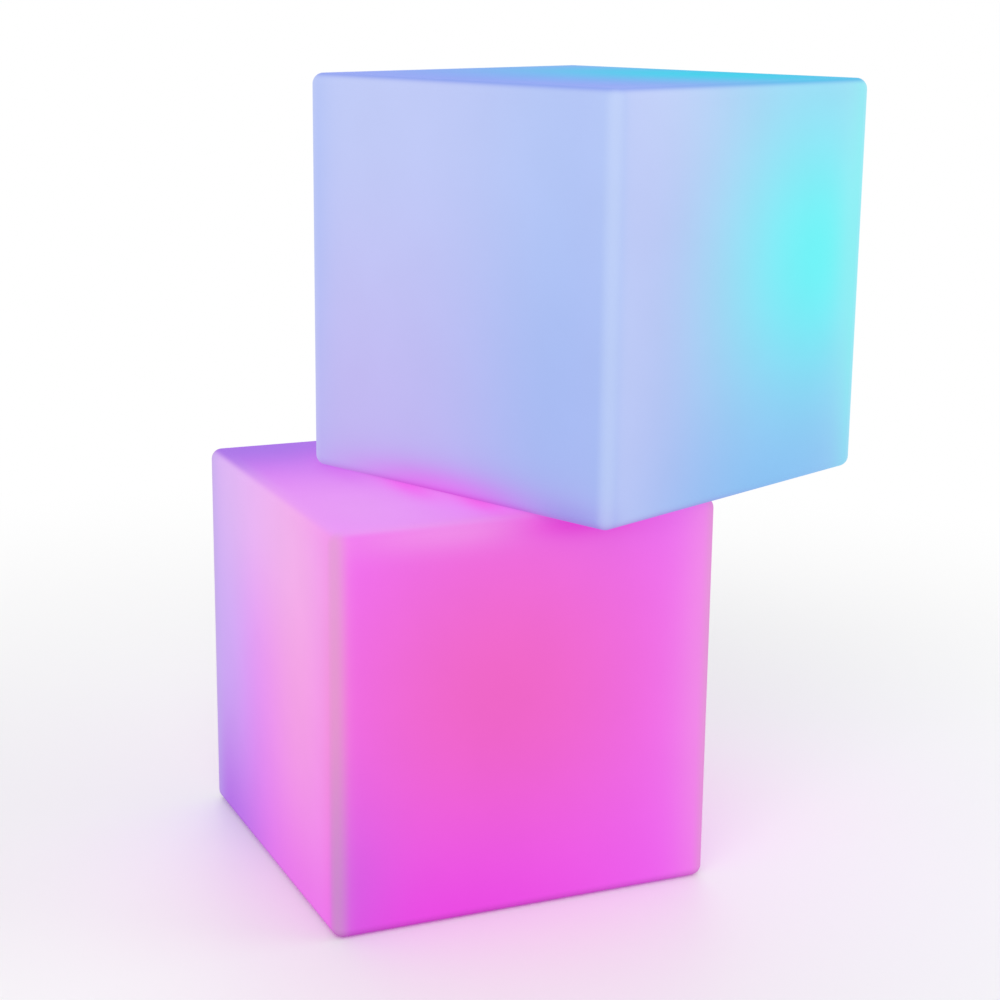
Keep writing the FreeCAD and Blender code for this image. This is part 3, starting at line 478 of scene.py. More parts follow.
# Brass nuts, turned from hexagon bar: fine tool rings round each, drawn about three times too wide.
BRASS = Metal("turned_brass", "C9A552", "B08A3C", 0.28, 12.0, 0.25, 0.01, (1, 1, 8))
# ABS, moulded in a spark-eroded tool: an even, faintly pebbled sheen, its pebbles drawn at twice their size.
HATCH_ABS = Finish("spark_textured_abs", "E9E9E6", "DFDFDB", 0.52, 20.0, 0.9, 0.03, ior=1.53)
# Silicone rubber, pressed in a mould: soft and nearly matt.
SEAL_SILICONE = Finish("pressed_silicone_seal", "BFC1C4", "B2B5B9", 0.6, grain_mm=0.8, ior=1.41)
# Stainless steel, cold headed and tumbled: bright but softened by tiny scuffs.
STAINLESS = Metal("tumbled_stainless_steel", "C9C9CB", "B6B7BA", 0.3, 12.0, 0.3, 0.01)
# Silicone rubber, moulded and dusted: a dry, hazy dark grey.
BUTTON_SILICONE = Finish("dusted_silicone_button", "6F7276", "63666A", 0.62, 4.0, 0.7, 0.02, ior=1.41)
# Nylon, moulded black: dull, with the mottle that its glass filling gives.
SWITCH_NYLON = Finish("glass_filled_nylon", "4A4A4D", "404043", 0.45, 3.0, 0.4, 0.012, ior=1.53)
# Nylon of the jack, moulded in a smoother tool: darker and a little glossier.
SOCKET_NYLON = Finish("smooth_moulded_nylon", "3C3C3F", "333336", 0.36, 3.0, 0.5, 0.006, ior=1.53)
# Silicone rubber of the flap, moulded: mid grey and soft, a little shinier where fingers lift it.
FLAP_SILICONE = Finish("moulded_silicone_flap", "949699", "87898D", 0.58, 6.0, 0.7, 0.02, ior=1.41)
# Epoxy, pressed round the chips: charcoal, with the mould's fine grain.
COMPONENT = Finish("pressed_epoxy", "434345", "38383A", 0.5, 2.0, 0.2, 0.008, ior=1.55)
# ABS, moulded in a plain tool: smooth, with a soft shine.
CRADLE_ABS = Finish("plain_moulded_abs", "E0E0DE", "D6D6D3", 0.42, 15.0, 0.8, 0.015, ior=1.53)
# PVC sleeve, shrunk by heat onto each cell: glossy, with slow ripples.
CELL_SLEEVE = Finish("heat_shrunk_pvc", "6E9FCB", "5E90BE", 0.25, 8.0, 4.0, 0.05, ior=1.54)
# PVC sheath, extruded: satin.
LEAD_PVC = Finish("extruded_pvc", "C44740", "B63E38", 0.38, 6.0, 0.5, 0.01, ior=1.54)
# Aluminium, die cast: a grey skin over a pebbled grain, drawn at twice its size.
CAST_FOOT = Metal("die_cast_aluminium", "C8C9CA", "B5B7B9", 0.48, 5.0, 0.5, 0.04)
# Aluminium, drawn through a die: long fine lines up the post, drawn wide enough to show.
DRAWN_ALUMINIUM = Metal("drawn_aluminium", "DCDDDE", "CBCDCF", 0.32, 12.0, 0.4, 0.01, (1, 1, 0.03))
# Green solder mask, screened over etched copper and baked: glassy, its tracks paler.
SOLDER_MASK = TrackedMask("screened_green_mask", "3F8A5E", "57A373", 0.3, 9.0, grain_depth_mm=0.035, ior=1.55)
# White solder mask, screened: bright, to throw the lamps' light outward.
LAMP_MASK = Finish("screened_white_mask", "F5F5F4", "EBEBE9", 0.35, 6.0, 0.4, 0.006, ior=1.55)
# Polycarbonate tube, extruded and blasted: an even milky haze, its pits drawn at twice their size.
FROSTED = Finish("blasted_polycarbonate", "F5F6F8", "EAECEF", 0.55, 15.0, 0.4, 0.015, ior=1.58)
# Polyamide, moulded in a tiny cup round each diode: clean white.
LED_CUP = Finish("moulded_polyamide_cup", "F4F4F1", "EAEAE6", 0.4, 2.0, 0.2, 0.004, ior=1.53)
# Silicone loaded with phosphor, poured into the cup: yellow and wet looking.
LED_FILLING = Finish("poured_phosphor_silicone", "F3E7A6", "E9D98C", 0.18, 1.0, 0.3, 0.003, ior=1.41)
# Copper leads, dipped in tin: bright, with a soft flow to the coat.
TINNED_COPPER = Metal("dipped_tin", "D8D8D6", "C6C7C8", 0.26, 1.0, 0.2, 0.004)
# Steel cans, drawn and nickel plated: a warm mirror, slightly scuffed.
NICKELLED_STEEL = Metal("nickel_plated_steel", "D6D5D0", "C6C5BF", 0.22, 5.0, 0.4, 0.006)
# Fish paper, pressed and punched to a washer: chalky and fibrous.
FISH_PAPER = Finish("pressed_fish_paper", "EFEFEB", "E0E0DA", 0.8, 2.0, 0.3, 0.02)
# Copper wire, drawn and enamelled: amber metal under a thin clear coat.
ENAMELLED_WIRE = Metal("enamelled_copper_wire", "C9793F", "B4652F", 0.25, 1.0, 0.2, 0.003)
# Glaze over chip resistors and stamped ink: flat black.
BLACK_GLAZE = Finish("fired_black_glaze", "3A3A3C", "2F2F31", 0.6, 0.8, 0.1, 0.002)
# Nylon of the lead connectors, moulded undyed: ivory and waxy.
CONNECTOR_NYLON = Finish("undyed_moulded_nylon", "EDEBE2", "E3E0D5", 0.45, 3.0, 0.3, 0.006, ior=1.53)
# Epoxy that only infrared passes, cast: nearly black, plum at the edges, and glossy.
INFRARED_EPOXY = Finish("cast_infrared_epoxy", "3A2A38", "30222F", 0.16, 3.0, 0.5, 0.003, ior=1.55)
# Acrylic light pipe, moulded in a polished tool: glassy.
ACRYLIC = Finish("polished_acrylic", "F3F5F5", "E9EDED", 0.08, 6.0, 2.0, 0.005, ior=1.49)

NODE_FINISHES = {
    "inserts": BRASS,
    "hatch": HATCH_ABS,
    "hatch_seal": SEAL_SILICONE,
    "power_button": BUTTON_SILICONE,
    "switch_plunger": SWITCH_NYLON,
    "power_switch": SWITCH_NYLON,
    "charge_socket": SOCKET_NYLON,
    "charge_flap": FLAP_SILICONE,
    "flap_pin": STAINLESS,
    "indicator_lens": ACRYLIC,
    "control_board": SOLDER_MASK,
    "battery_cradle": CRADLE_ABS,
    "cradle_cap": CRADLE_ABS,
    "battery_lead": LEAD_PVC,
    "post_foot": CAST_FOOT,
    "lamp_post": DRAWN_ALUMINIUM,
    "lamp_boards": LAMP_MASK,
    "lamp_dome": FROSTED,
    "dome_collar": CRADLE_ABS,
    "lamp_lead": LEAD_PVC,
}


# ---- forms, in millimetres ----
Ring = list[Vector]
RadiusRule = Callable[[float], float]
Profile = list[tuple[float | RadiusRule, float]]


def quarter_turn(steps: int) -> list[float]:
    """The angles of a quarter turn in equal steps, from 0."""
    return [FULL_TURN / 4 * i / steps for i in range(steps + 1)]


def off_axis(angle: float) -> float:
    """How far a direction lies from the nearest axis, as an angle."""
    turn = angle % (FULL_TURN / 4)
    return min(turn, FULL_TURN / 4 - turn)


def hexagon(across_flats: float) -> RadiusRule:
    """A hexagonal section with a corner at angle 0."""
    sixth = FULL_TURN / 6
    return lambda angle: across_flats / 2 / math.cos(angle % sixth - sixth / 2)


def square(half: float) -> RadiusRule:
    """A square section with its sides across the axes."""
    return lambda angle: half / math.cos(off_axis(angle))


def cross(arm: float, half_width: float) -> RadiusRule:
    """A cross section, as a cross-head driver leaves, with arms along the axes."""
    end = square(arm)
    return lambda angle: min(end(angle), half_width / max(math.sin(off_axis(angle)), 1e-6))


@dataclass(frozen=True)
class Turned:
    """A profile turned about Z: a radius, or a rule that gives it by angle, and a height, from end to end."""

    profile: Profile
    sides: int = 32
    middle: Point = ORIGIN

    def rings(self) -> list[Ring]:
        """Its rings of points.

        Returns:
            The rings, from end to end.
        """
        x, y, z = self.middle
        around = [FULL_TURN * i / self.sides for i in range(self.sides)]
        rings = []
        for radius, height in self.profile:
            polar = [(radius(a) if callable(radius) else radius, a) for a in around]
            rings.append([Vector((x + r * math.cos(a), y + r * math.sin(a), z + height)) for r, a in polar])
        return rings


@dataclass(frozen=True)
class Block:
    """A block with rounded edges, each quarter turn of them in steps, on the middle of its underside."""

    size: Point
    edge: float
    middle: Point = ORIGIN
    steps: int = 3
    least_radius: float = 1e-4

    def rings(self) -> list[Ring]:
        """Its rings of points.

        Returns:
            The rings, from the underside up.
        """
        x, y, z = self.middle
        half_x, half_y = self.size[0] / 2 - self.edge, self.size[1] / 2 - self.edge
        bend = quarter_turn(self.steps)
        rounds = [(self.edge, -a) for a in reversed(bend)] + [(self.size[2] - self.edge, a) for a in bend]
        rings = []
        for level, climb in rounds:
            radius = self.edge * math.cos(climb) + self.least_radius
            height = z + level + self.edge * math.sin(climb)
            ring = []
            for k, (side_x, side_y) in enumerate(CORNERS):
                for a in bend:
                    angle = a + k * FULL_TURN / 4
                    across = x + side_x * half_x + radius * math.cos(angle)
                    ring.append(Vector((across, y + side_y * half_y + radius * math.sin(angle), height)))
            rings.append(ring)
        return rings


@dataclass(frozen=True)
class Strip:
    """Flat strip, bent as a leg: its middle line as X and Z, its place along Y and its turn about Z."""

    path: list[tuple[float, float]]
    along: float
    half_width: float
    thickness: float
    turn: float = 0.0

    def rings(self) -> list[Ring]:
        """Its corners at each point of the path.

        Returns:
            Four corners for each point, in order.
        """
        spin = Matrix.Rotation(self.turn, 3, "Z")
        points = [spin @ Vector((x, self.along, z)) for x, z in self.path]
        side = spin @ Vector((0.0, self.half_width, 0.0))
        rings = []
        for i, point in enumerate(points):
            ahead = points[min(i + 1, len(points) - 1)] - points[max(i - 1, 0)]
            over = side.cross(ahead).normalized() * self.thickness / 2
            rings.append([point + side + over, point - side + over, point - side - over, point + side - over])
        return rings


@dataclass(frozen=True)
class Slab:
    """A flat form: its outline, and the heights of its two faces."""

    outline: list[tuple[float, float]]
    low: float
    high: float

    def rings(self) -> list[Ring]:
        """Its outline at both heights."""
        return [[Vector((x, y, height)) for x, y in self.outline] for height in (self.low, self.high)]


Parts = dict[Finish, list[Turned | Block | Strip | Slab]]


class Piece:
    """One object, built up from forms in a light's own axes."""

    def __init__(self, name: str, place: Place) -> None:
        """Start an empty mesh.

        Args:
            name: the piece's name without the light's prefix.
            place: which light it belongs to.
        """
        self.name = f"{place.prefix}_{name}"
        self.place = place
        self.mesh = bmesh.new()
        self.finishes: dict[Finish, int] = {}

    def add(self, parts: Parts, where: Point, up: Point = UP) -> None:
        """Stand forms at a place, with their own Z along a direction.

        Args:
            parts: the forms by finish.
            where: where their origin goes.
            up: the direction.
        """
        seat = Matrix.Translation(where) @ Vector(up).to_track_quat("Z", "Y").to_matrix().to_4x4()
        for finish, forms in parts.items():
            paint = self.finishes.setdefault(finish, len(self.finishes))
            for form in forms:
                self.skin([[seat @ point for point in ring] for ring in form.rings()], paint)

    def skin(self, rings: list[Ring], paint: int) -> None:
        """Stretch a closed surface over rings of equally many points, with a cap on each end ring.

        Args:
            rings: the rings in order, each going the same way round.
            paint: the number of its finish.
        """
        rows = [[self.mesh.verts.new(point) for point in ring] for ring in rings]
        sides = [rows[0][::-1], rows[-1]]
        for low, high in zip(rows, rows[1:]):
            sides += [(low[i - 1], low[i], high[i], high[i - 1]) for i in range(len(low))]
        for side in sides:
            self.mesh.faces.new(side).material_index = paint

    def done(self, node: str, body: str, slot: str) -> None:
        """Make the object, set it on its body and hide the CAD node that it stands for.

        Args:
            node: the CAD node that it replaces, without the light's prefix.
            body: the body that it rides on, without the prefix.
            slot: the record's material slot; not used.
        """
        bmesh.ops.recalc_face_normals(self.mesh, faces=self.mesh.faces)
        for face in self.mesh.faces:
            face.smooth = True
        for edge in self.mesh.edges:
            edge.smooth = edge.calc_face_angle(0.0) < CREASE
        self.mesh.transform(self.place.matrix @ Matrix.Scale(MM, 4))
        data = bpy.data.meshes.new(self.name)
        self.mesh.to_mesh(data)
        self.mesh.free()
        for finish in self.finishes:
            data.materials.append(finish.material())
        piece = link_object(self.name, data)
        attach(piece, f"{self.place.prefix}_{body}")
        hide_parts(f"{self.place.prefix}_{node}")
        log.info("%s: %d faces", self.name, len(data.polygons))


# ---- what the hatch carries, in millimetres ----
BOARD_TOP = 47.6
BOARD_UNDER = 46.0


@dataclass(frozen=True)
class Screw:
    """A pan-head machine screw, its thread rolled and its drive pressed into the head."""

    shank: float
    head: float
    head_height: float
    length: float
    drive: RadiusRule
    drive_depth: float
    pitch: float
    threaded: float
    sides: int
    ring_step: float = 0.2  # of the pitch
    flank: float = 0.55  # depth of the thread, of the pitch
    run_out: int = 5  # rings over which the thread fades at each end
    point: float = 0.8  # of the thread's root
    shoulder: float = 0.4  # of the head's height
    crown: float = 0.72  # of the head's radius
    crown_steps: int = 6
    pit: tuple[float, float] = (0.15, 1.15)  # of the shank and of the drive's depth

    def form(self) -> Turned:
        """Turn the screw, with the underside of its head at height 0.

        Returns:
            Its form.
        """
        rise = self.pitch * self.ring_step
        rows = int(self.threaded / rise)
        profile: Profile = [((self.shank - self.flank * self.pitch) * self.point, -self.length)]
        for row in range(1, rows):
            fade = min(1.0, row / self.run_out, (rows - row) / self.run_out)
            profile.append((self.thread_at(row * rise - self.length, fade), row * rise - self.length))
        profile += [(self.shank, self.threaded - self.length), (self.shank, 0.0), (self.head, 0.0)]
        shoulder, crown, top = self.shoulder * self.head_height, self.crown * self.head, self.head_height
        for angle in quarter_turn(self.crown_steps):
            radius = crown + (self.head - crown) * math.cos(angle)
            profile.append((radius, shoulder + (top - shoulder) * math.sin(angle)))
        profile += [(self.drive, top), (self.drive, top - self.drive_depth)]
        profile.append((self.shank * self.pit[0], top - self.drive_depth * self.pit[1]))
        return Turned(profile, self.sides)

    def thread_at(self, height: float, fade: float) -> RadiusRule:
        """The thread's section at a height, cut to a share of its depth; it turns as the thread climbs."""
        turns, depth = height / self.pitch, self.flank * self.pitch * fade
        return lambda angle: self.shank - depth * abs(2 * ((turns - angle / FULL_TURN) % 1.0) - 1)


HATCH_SCREW = Screw(
    shank=2.0,
    head=3.8,
    head_height=2.6,
    length=12.3,
    drive=hexagon(2.5),
    drive_depth=1.3,
    pitch=0.7,
    threaded=9.5,
    sides=36,
)
BOARD_SCREW = Screw(
    shank=1.25,
    head=2.4,
    head_height=1.6,
    length=9.6,
    drive=cross(1.35, 0.32),
    drive_depth=0.9,
    pitch=0.45,
    threaded=8.0,
    sides=48,
)
FOOT_SCREW = replace(BOARD_SCREW, length=8.5, threaded=6.0)
CRADLE_ROD = replace(BOARD_SCREW, shank=1.4, length=72.2, pitch=0.5, threaded=9.0)


@dataclass(frozen=True)
class ScrewSet:
    """Alike screws: where the underside of each head sits, and the way that the heads face."""

    screw: Screw
    seats: list[Point]
    up: Point = UP

    def fill(self, piece: Piece) -> None:
        """Drive a screw into every seat."""
        for seat in self.seats:
            piece.add({STAINLESS: [self.screw.form()]}, seat, self.up)


def seats_round(radius: float, count: int, height: float) -> list[Point]:
    """Seats spread evenly round the middle, the first half a step from X."""
    angles = [FULL_TURN * (i + 0.5) / count for i in range(count)]
    return [(radius * math.cos(angle), radius * math.sin(angle), height) for angle in angles]


@dataclass(frozen=True)
class LampLeds:
    """Diode packages, in a column up each side board and in a square on the top one."""

    face: float = 16.6
    middle: float = 170.0
    pitch: float = 22.0
    per_board: int = 5
    top_face: float = 237.6
    top_spacing: float = 6.0
    half: float = 2.5
    height: float = 1.6
    lead_rows: Point = (-1.6, 0.0, 1.6)
    lead_half: float = 0.4
    lead_thickness: float = 0.08

    def fill(self, piece: Piece) -> None:
        """Set every diode of one light on its board.

        Args:
            piece: the object that they join.
        """
        package = self.package()
        for row in range(self.per_board):
            height = self.middle + (row - (self.per_board - 1) / 2) * self.pitch
            for x, y in ((0, -1), (1, 0), (0, 1), (-1, 0)):
                piece.add(package, (x * self.face, y * self.face, height), (x, y, 0.0))
        for x, y in CORNERS:
            piece.add(package, (x * self.top_spacing, y * self.top_spacing, self.top_face))

    def package(self) -> Parts:
        """Form one diode: a square cup with a round well, a clear filling and three leads on each side.

        Returns:
            Its forms by finish.
        """
        reach, wall, top = self.half, self.half - 0.12, self.height
        cup = [(square(wall), 0.15), (square(wall), top - 0.15), (square(wall - 0.12), top)]
        well = [(1.95, top), (1.5, top - 0.55), (0.2, top - 0.56)]
        filling = [(1.6, top - 0.5), (1.86, top - 0.12), (1.3, top - 0.03), (0.6, top), (0.1, top)]
        path = [(reach * 0.8, 0.75), (reach * 0.985, 0.7), (reach * 0.985, 0.06), (reach * 0.7, 0.05)]
        ways = [(along, turn) for turn in (0.0, math.pi) for along in self.lead_rows]
        leads = [Strip(path, along, self.lead_half, self.lead_thickness, turn) for along, turn in ways]
        return {LED_CUP: [Turned(cup + well)], LED_FILLING: [Turned(filling, 24)], TINNED_COPPER: leads}


@dataclass(frozen=True)
class BatteryCells:
    """Three steel-cased cells in heat-shrunk sleeves."""

    places: Point = (-20.0, 0.0, 20.0)
    row: float = 36.0
    low: float = 26.5
    length: float = 65.2
    radius: float = 9.2
    nub_radius: float = 3.0
    nub: float = 1.0
    crimp_below: float = 3.6
    fold: float = 1.9  # how far the sleeve folds over each end
    sides: int = 48

    def fill(self, piece: Piece) -> None:
        """Stand the cells in their row."""
        for x in self.places:
            piece.add(self.cell(), (x, self.row, self.low))

    def cell(self) -> Parts:
        """Form one cell, standing on its flat end: its can and cap, a washer, and the sleeve round them.

        Returns:
            Its forms by finish.
        """
        r, top, nub = self.radius, self.length, self.nub_radius
        can, fold, crimp = r - 0.25, r - self.fold, top - self.crimp_below
        case = [(can - 0.8, 0.12), (can, 0.9), (can, top - 1.0), (can - 0.6, top - 0.25)]
        case.append((can - 3.0, top - 0.3))
        cap = [(nub + 1.8, top - 0.4), (nub + 1.7, top - 0.1), (nub + 0.5, top + 0.15), (nub, top + 0.7)]
        cap += [(nub - 0.3, top + self.nub), (0.2, top + self.nub - 0.05)]
        bore, rim, low, high = nub + 1.6, r - 1.6, top - 0.32, top - 0.14
        washer = [(bore, low), (rim, low), (rim, high), (bore, high)]
        sleeve = [(fold, 0.16), (fold, 0.02), (r - 0.5, 0.0), (r, 0.6), (r, crimp - 1.2)]
        sleeve += [(r - 0.16, crimp - 0.5), (r - 0.24, crimp), (r - 0.16, crimp + 0.5), (r, crimp + 1.2)]
        sleeve += [(r, top - 0.7), (r - 0.3, top - 0.12), (r - 0.9, top)]
        sleeve += [(fold, top - 0.02), (fold, top - 0.14)]
        return {
            NICKELLED_STEEL: [Turned(case, self.sides), Turned(cap, self.sides)],
            FISH_PAPER: [Turned(washer, self.sides)],
            CELL_SLEEVE: [Turned(sleeve, self.sides)],
        }


@dataclass(frozen=True)
class Chip:
    """A moulded chip with gull-wing legs: on two sides, or on all four of a square one."""

    over_legs: float
    width: float
    depth: float
    legs: int
    sides: int
    height: float = 1.6
    gap: float = 0.1  # under the body
    dot: float = 0.3
    dot_inset: float = 0.8
    leg_half: float = 0.2
    leg_thickness: float = 0.14

    def parts(self) -> Parts:
        """Form its body, the dot at its first leg, and its legs.

        Returns:
            Its forms by finish.
        """
        top, inner, reach = self.height, self.width / 2, self.over_legs / 2
        body = Block((self.width, self.depth, top - self.gap), 0.12, (0.0, 0.0, self.gap))
        dot = [(self.dot, top - 0.03), (self.dot, top), (self.dot - 0.08, top)]
        corner = (self.dot_inset - inner, self.dot_inset - self.depth / 2, 0.0)
        knee = (inner + reach) / 2
        path = [(inner - 0.1, top / 2), (knee, top / 2), (knee, self.gap), (reach, self.gap - 0.02)]
        rows = [(i / (self.legs - 1) - 0.5) * (self.depth - 1.0) for i in range(self.legs)]
        turns = [FULL_TURN * i / self.sides for i in range(self.sides)]
        legs = [Strip(path, row, self.leg_half, self.leg_thickness, turn) for turn in turns for row in rows]
        return {COMPONENT: [body], BLACK_GLAZE: [Turned(dot, 16, corner)], TINNED_COPPER: legs}


@dataclass(frozen=True)
class Choke:
    """A ferrite bobbin on a square base, wound with enamelled wire."""

    half: float = 4.5
    base: float = 0.9
    wire: float = 0.155
    turns: int = 9
    wire_steps: int = 2  # facets round each quarter of the wire
    sides: int = 48

    def parts(self) -> Parts:
        """Form its base, bobbin and winding.

        Returns:
            Its forms by finish.
        """
        half, wire, low = self.half, self.wire, self.base + 0.02
        core, rim = half * 0.55, half * 0.93
        bobbin = [(core, 0.8), (core, 3.6), (rim, 3.7), (rim, 4.35), (half * 0.88, 4.5)]
        winding: Profile = [(half * 0.5, low)]
        for turn in range(self.turns):
            for angle in quarter_turn(2 * self.wire_steps):
                height = low + wire * (2 * turn + 1 - math.cos(2 * angle))
                winding.append((half * 0.82 + wire * math.sin(2 * angle), height))
        winding.append((half * 0.5, low + 2 * wire * self.turns))
        base = Block((2 * half, 2 * half, self.base), 0.25)
        return {COMPONENT: [base, Turned(bobbin, self.sides)], ENAMELLED_WIRE: [Turned(winding, self.sides)]}


@dataclass(frozen=True)
class Capacitor:
    """An aluminium can with a vent cross in its lid and a dark half moon."""

    radius: float = 4.0
    height: float = 9.0
    foot: float = 1.0
    moon_steps: int = 6
    sides: int = 64

    def parts(self) -> Parts:
        """Form its foot, can and half moon.

        Returns:
            Its forms by finish.
        """
        r, top = self.radius, self.height
        foot = [(square(r - 0.55), 0.0), (square(r - 0.55), self.foot)]
        can = [(r - 0.2, 0.9), (r, 1.2), (r, 1.8), (r - 0.3, 2.1), (r, 2.4), (r, top - 0.4)]
        can += [(r - 0.35, top - 0.05), (cross(r - 1.0, 0.22), top), (cross(r - 1.1, 0.1), top - 0.25)]
        angles = [FULL_TURN / 6 * (1 + i / self.moon_steps) for i in range(self.moon_steps + 1)]
        moon = [(r * 0.86 * math.cos(angle), r * 0.86 * math.sin(angle)) for angle in angles]
        return {
            COMPONENT: [Turned(foot)],
            DRAWN_ALUMINIUM: [Turned(can, self.sides)],
            BLACK_GLAZE: [Slab(moon, top - 0.1, top)],
        }


# A two-way lead connector: its housing, a collar round each way and a latch, and its pins.
PLUG: Parts = {
    CONNECTOR_NYLON: [
        Block((8.0, 6.0, 5.2), 0.35),
        *(Block((3.0, 4.0, 0.8), 0.2, (x, 0.0, 5.19)) for x in (-1.9, 1.9)),
        Block((3.0, 0.7, 1.6), 0.15, (0.0, -2.65, 3.0)),
    ],
    TINNED_COPPER: [Block((0.6, 0.6, 0.3), 0.1, (x, 2.6, 0.0)) for x in (-1.9, 1.9)],
}
# The charging lamp: a small cup with a domed filling.
INDICATOR_LAMP: Parts = {
    LED_CUP: [Block((2.0, 3.0, 0.6), 0.08)],
    LED_FILLING: [Turned([(0.7, 0.55), (0.7, 0.8), (0.5, 0.95), (0.1, 1.0)], 20)],
}
# A chip resistor: a glazed ceramic slab with tinned ends.
RESISTOR: Parts = {
    BLACK_GLAZE: [Block((1.5, 0.8, 0.42), 0.04, (0.0, 0.0, 0.02))],
    TINNED_COPPER: [Block((0.32, 0.86, 0.5), 0.06, (x, 0.0, 0.0)) for x in (-0.84, 0.84)],
}


@dataclass(frozen=True)
class BoardParts:
    """What is soldered to the control board."""

    indicator: float = -43.0
    row: float = -45.6  # of resistors along the board's edge
    row_start: float = -10.0
    row_spacing: float = 4.0
    row_count: int = 9

    def fill(self, piece: Piece) -> None:
        """Solder every part to its spot.

        Args:
            piece: the object that they join.
        """
        for parts, x, y in (
            (Chip(10.0, 8.4, 8.4, 8, 4).parts(), -6.0, -37.0),
            (Chip(6.0, 4.4, 5.0, 4, 2).parts(), 8.0, -39.0),
            (Choke().parts(), 18.0, -39.0),
            (Capacitor().parts(), 5.0, -28.0),
            (PLUG, -20.5, -24.0),
            (PLUG, 20.5, -24.0),
        ):
            piece.add(parts, (x, y, BOARD_TOP))
        piece.add(INDICATOR_LAMP, (0.0, self.indicator, BOARD_UNDER), DOWN)
        spots = [(self.row_start + i * self.row_spacing, self.row) for i in range(self.row_count)]
        spots += [(-13.5, -29.0), (-9.5, -29.0), (-5.5, -29.0), (-13.5, -25.0), (-9.5, -25.0), (28.0, -31.0)]
        for x, y in spots:
            piece.add(RESISTOR, (x, y, BOARD_TOP))


@dataclass(frozen=True)
class RemoteReceiver:
    """The remote's infrared eye: dark epoxy with a domed window, on three legs."""

    middle: Point = (-16.0, -40.5, BOARD_TOP)
    size: Point = (6.0, 2.6, 5.4)
    back: float = 0.7  # the body's middle, behind the legs' row
    gap: float = 0.7  # under the body
    eye: float = 2.4
    eye_height: float = 6.0
    eye_back: float = 2.0
    dome: float = 2.0
    dome_steps: int = 8
    legs: Point = (-2.0, 0.0, 2.0)

    def fill(self, piece: Piece) -> None:
        """Add its body, legs and eye.

        Args:
            piece: the object that they join.
        """
        body = Block(self.size, 0.3, (0.0, self.back, self.gap))
        legs = [Block((0.5, 0.5, 0.9), 0.08, (x, self.back, 0.0)) for x in self.legs]
        piece.add({INFRARED_EPOXY: [body], TINNED_COPPER: legs}, self.middle)
        eye = [(self.eye - 0.2, 0.0), (self.eye, 0.2)]
        for angle in quarter_turn(self.dome_steps)[:-1]:
            eye.append((self.eye * math.cos(angle), self.dome * (1 + math.sin(angle))))
        eye.append((0.05, 2 * self.dome))
        x, y, z = self.middle
        seat = (x, y + self.eye_back, z + self.eye_height)
        piece.add({INFRARED_EPOXY: [Turned(eye)]}, seat, (0.0, -1.0, 0.0))


HATCH_SEATS = seats_round(76.5, 6, 24.2)
BOARD_SEATS = [(x, y, BOARD_TOP) for x in (-32.0, 32.0) for y in (-44.0, -22.0)]
FOOT_SEATS = [(-23.0, 0.0, 33.0), (23.0, 0.0, 33.0)]
ROD_SEATS = [(-10.0, 26.3, 96.7), (10.0, 45.7, 96.7)]
# Each node that one object stands for: how that is made, the record's slot, and what fills it.
WORKS = {
    "hatch_screws": ("turned", "stainless_screw", ScrewSet(HATCH_SCREW, HATCH_SEATS, DOWN)),
    "board_screws": ("turned", "stainless_screw", ScrewSet(BOARD_SCREW, BOARD_SEATS)),
    "foot_screws": ("turned", "stainless_screw", ScrewSet(FOOT_SCREW, FOOT_SEATS)),
    "cradle_rods": ("turned", "stainless_screw", ScrewSet(CRADLE_ROD, ROD_SEATS)),
    "lamp_leds": ("packaged", "lamp_led", LampLeds()),
    "battery_cells": ("sleeved", "cell_sleeve", BatteryCells()),
    "board_parts": ("soldered", "board_component", BoardParts()),
    "remote_receiver": ("moulded", "board_component", RemoteReceiver()),
}


@dataclass(frozen=True)
class CubeLight:
    """One light: its shell and the works behind its hatch."""

    place: Place
    glow: GlowingPolyethylene

    def paint(self, piece: str, finish: Finish) -> None:
        """Give a CAD node its finish.

        Args:
            piece: the node's name without the light's prefix.
            finish: the surface it gets.
        """
        name = f"{self.place.prefix}_{piece}"
        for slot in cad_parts[name].material_slots:
            slot.material = finish.material()
        log.info("%s: %s", name, finish.name)

    def build(self) -> None:
        """Dress the shell and every piece of the works."""
        self.paint("shell", self.glow)
        for piece, finish in NODE_FINISHES.items():
            self.paint(piece, finish)
        for node, (made, slot, works) in WORKS.items():
            piece = Piece(f"{node}_{made}", self.place)
            works.fill(piece)
            piece.done(node, "light", slot)


# ---- studio, in metres ----
@dataclass(frozen=True)
class SoftLamp:
    """A soft square lamp: where it hangs, its width, its power in watts and what it faces."""

    name: str
    place: Point
    width: float
    power: float
    aim: Point = (0.07, 0.0, 0.4)

    def hang(self) -> None:
        """Put it in the scene."""
        data = bpy.data.lights.new(self.name, "AREA")
        data.size = self.width
        data.energy = self.power
        lamp = link_object(self.name, data)
        lamp.location = self.place
        lamp.rotation_mode = "QUATERNION"
        lamp.rotation_quaternion = (Vector(self.aim) - Vector(self.place)).to_track_quat("-Z", "Y")


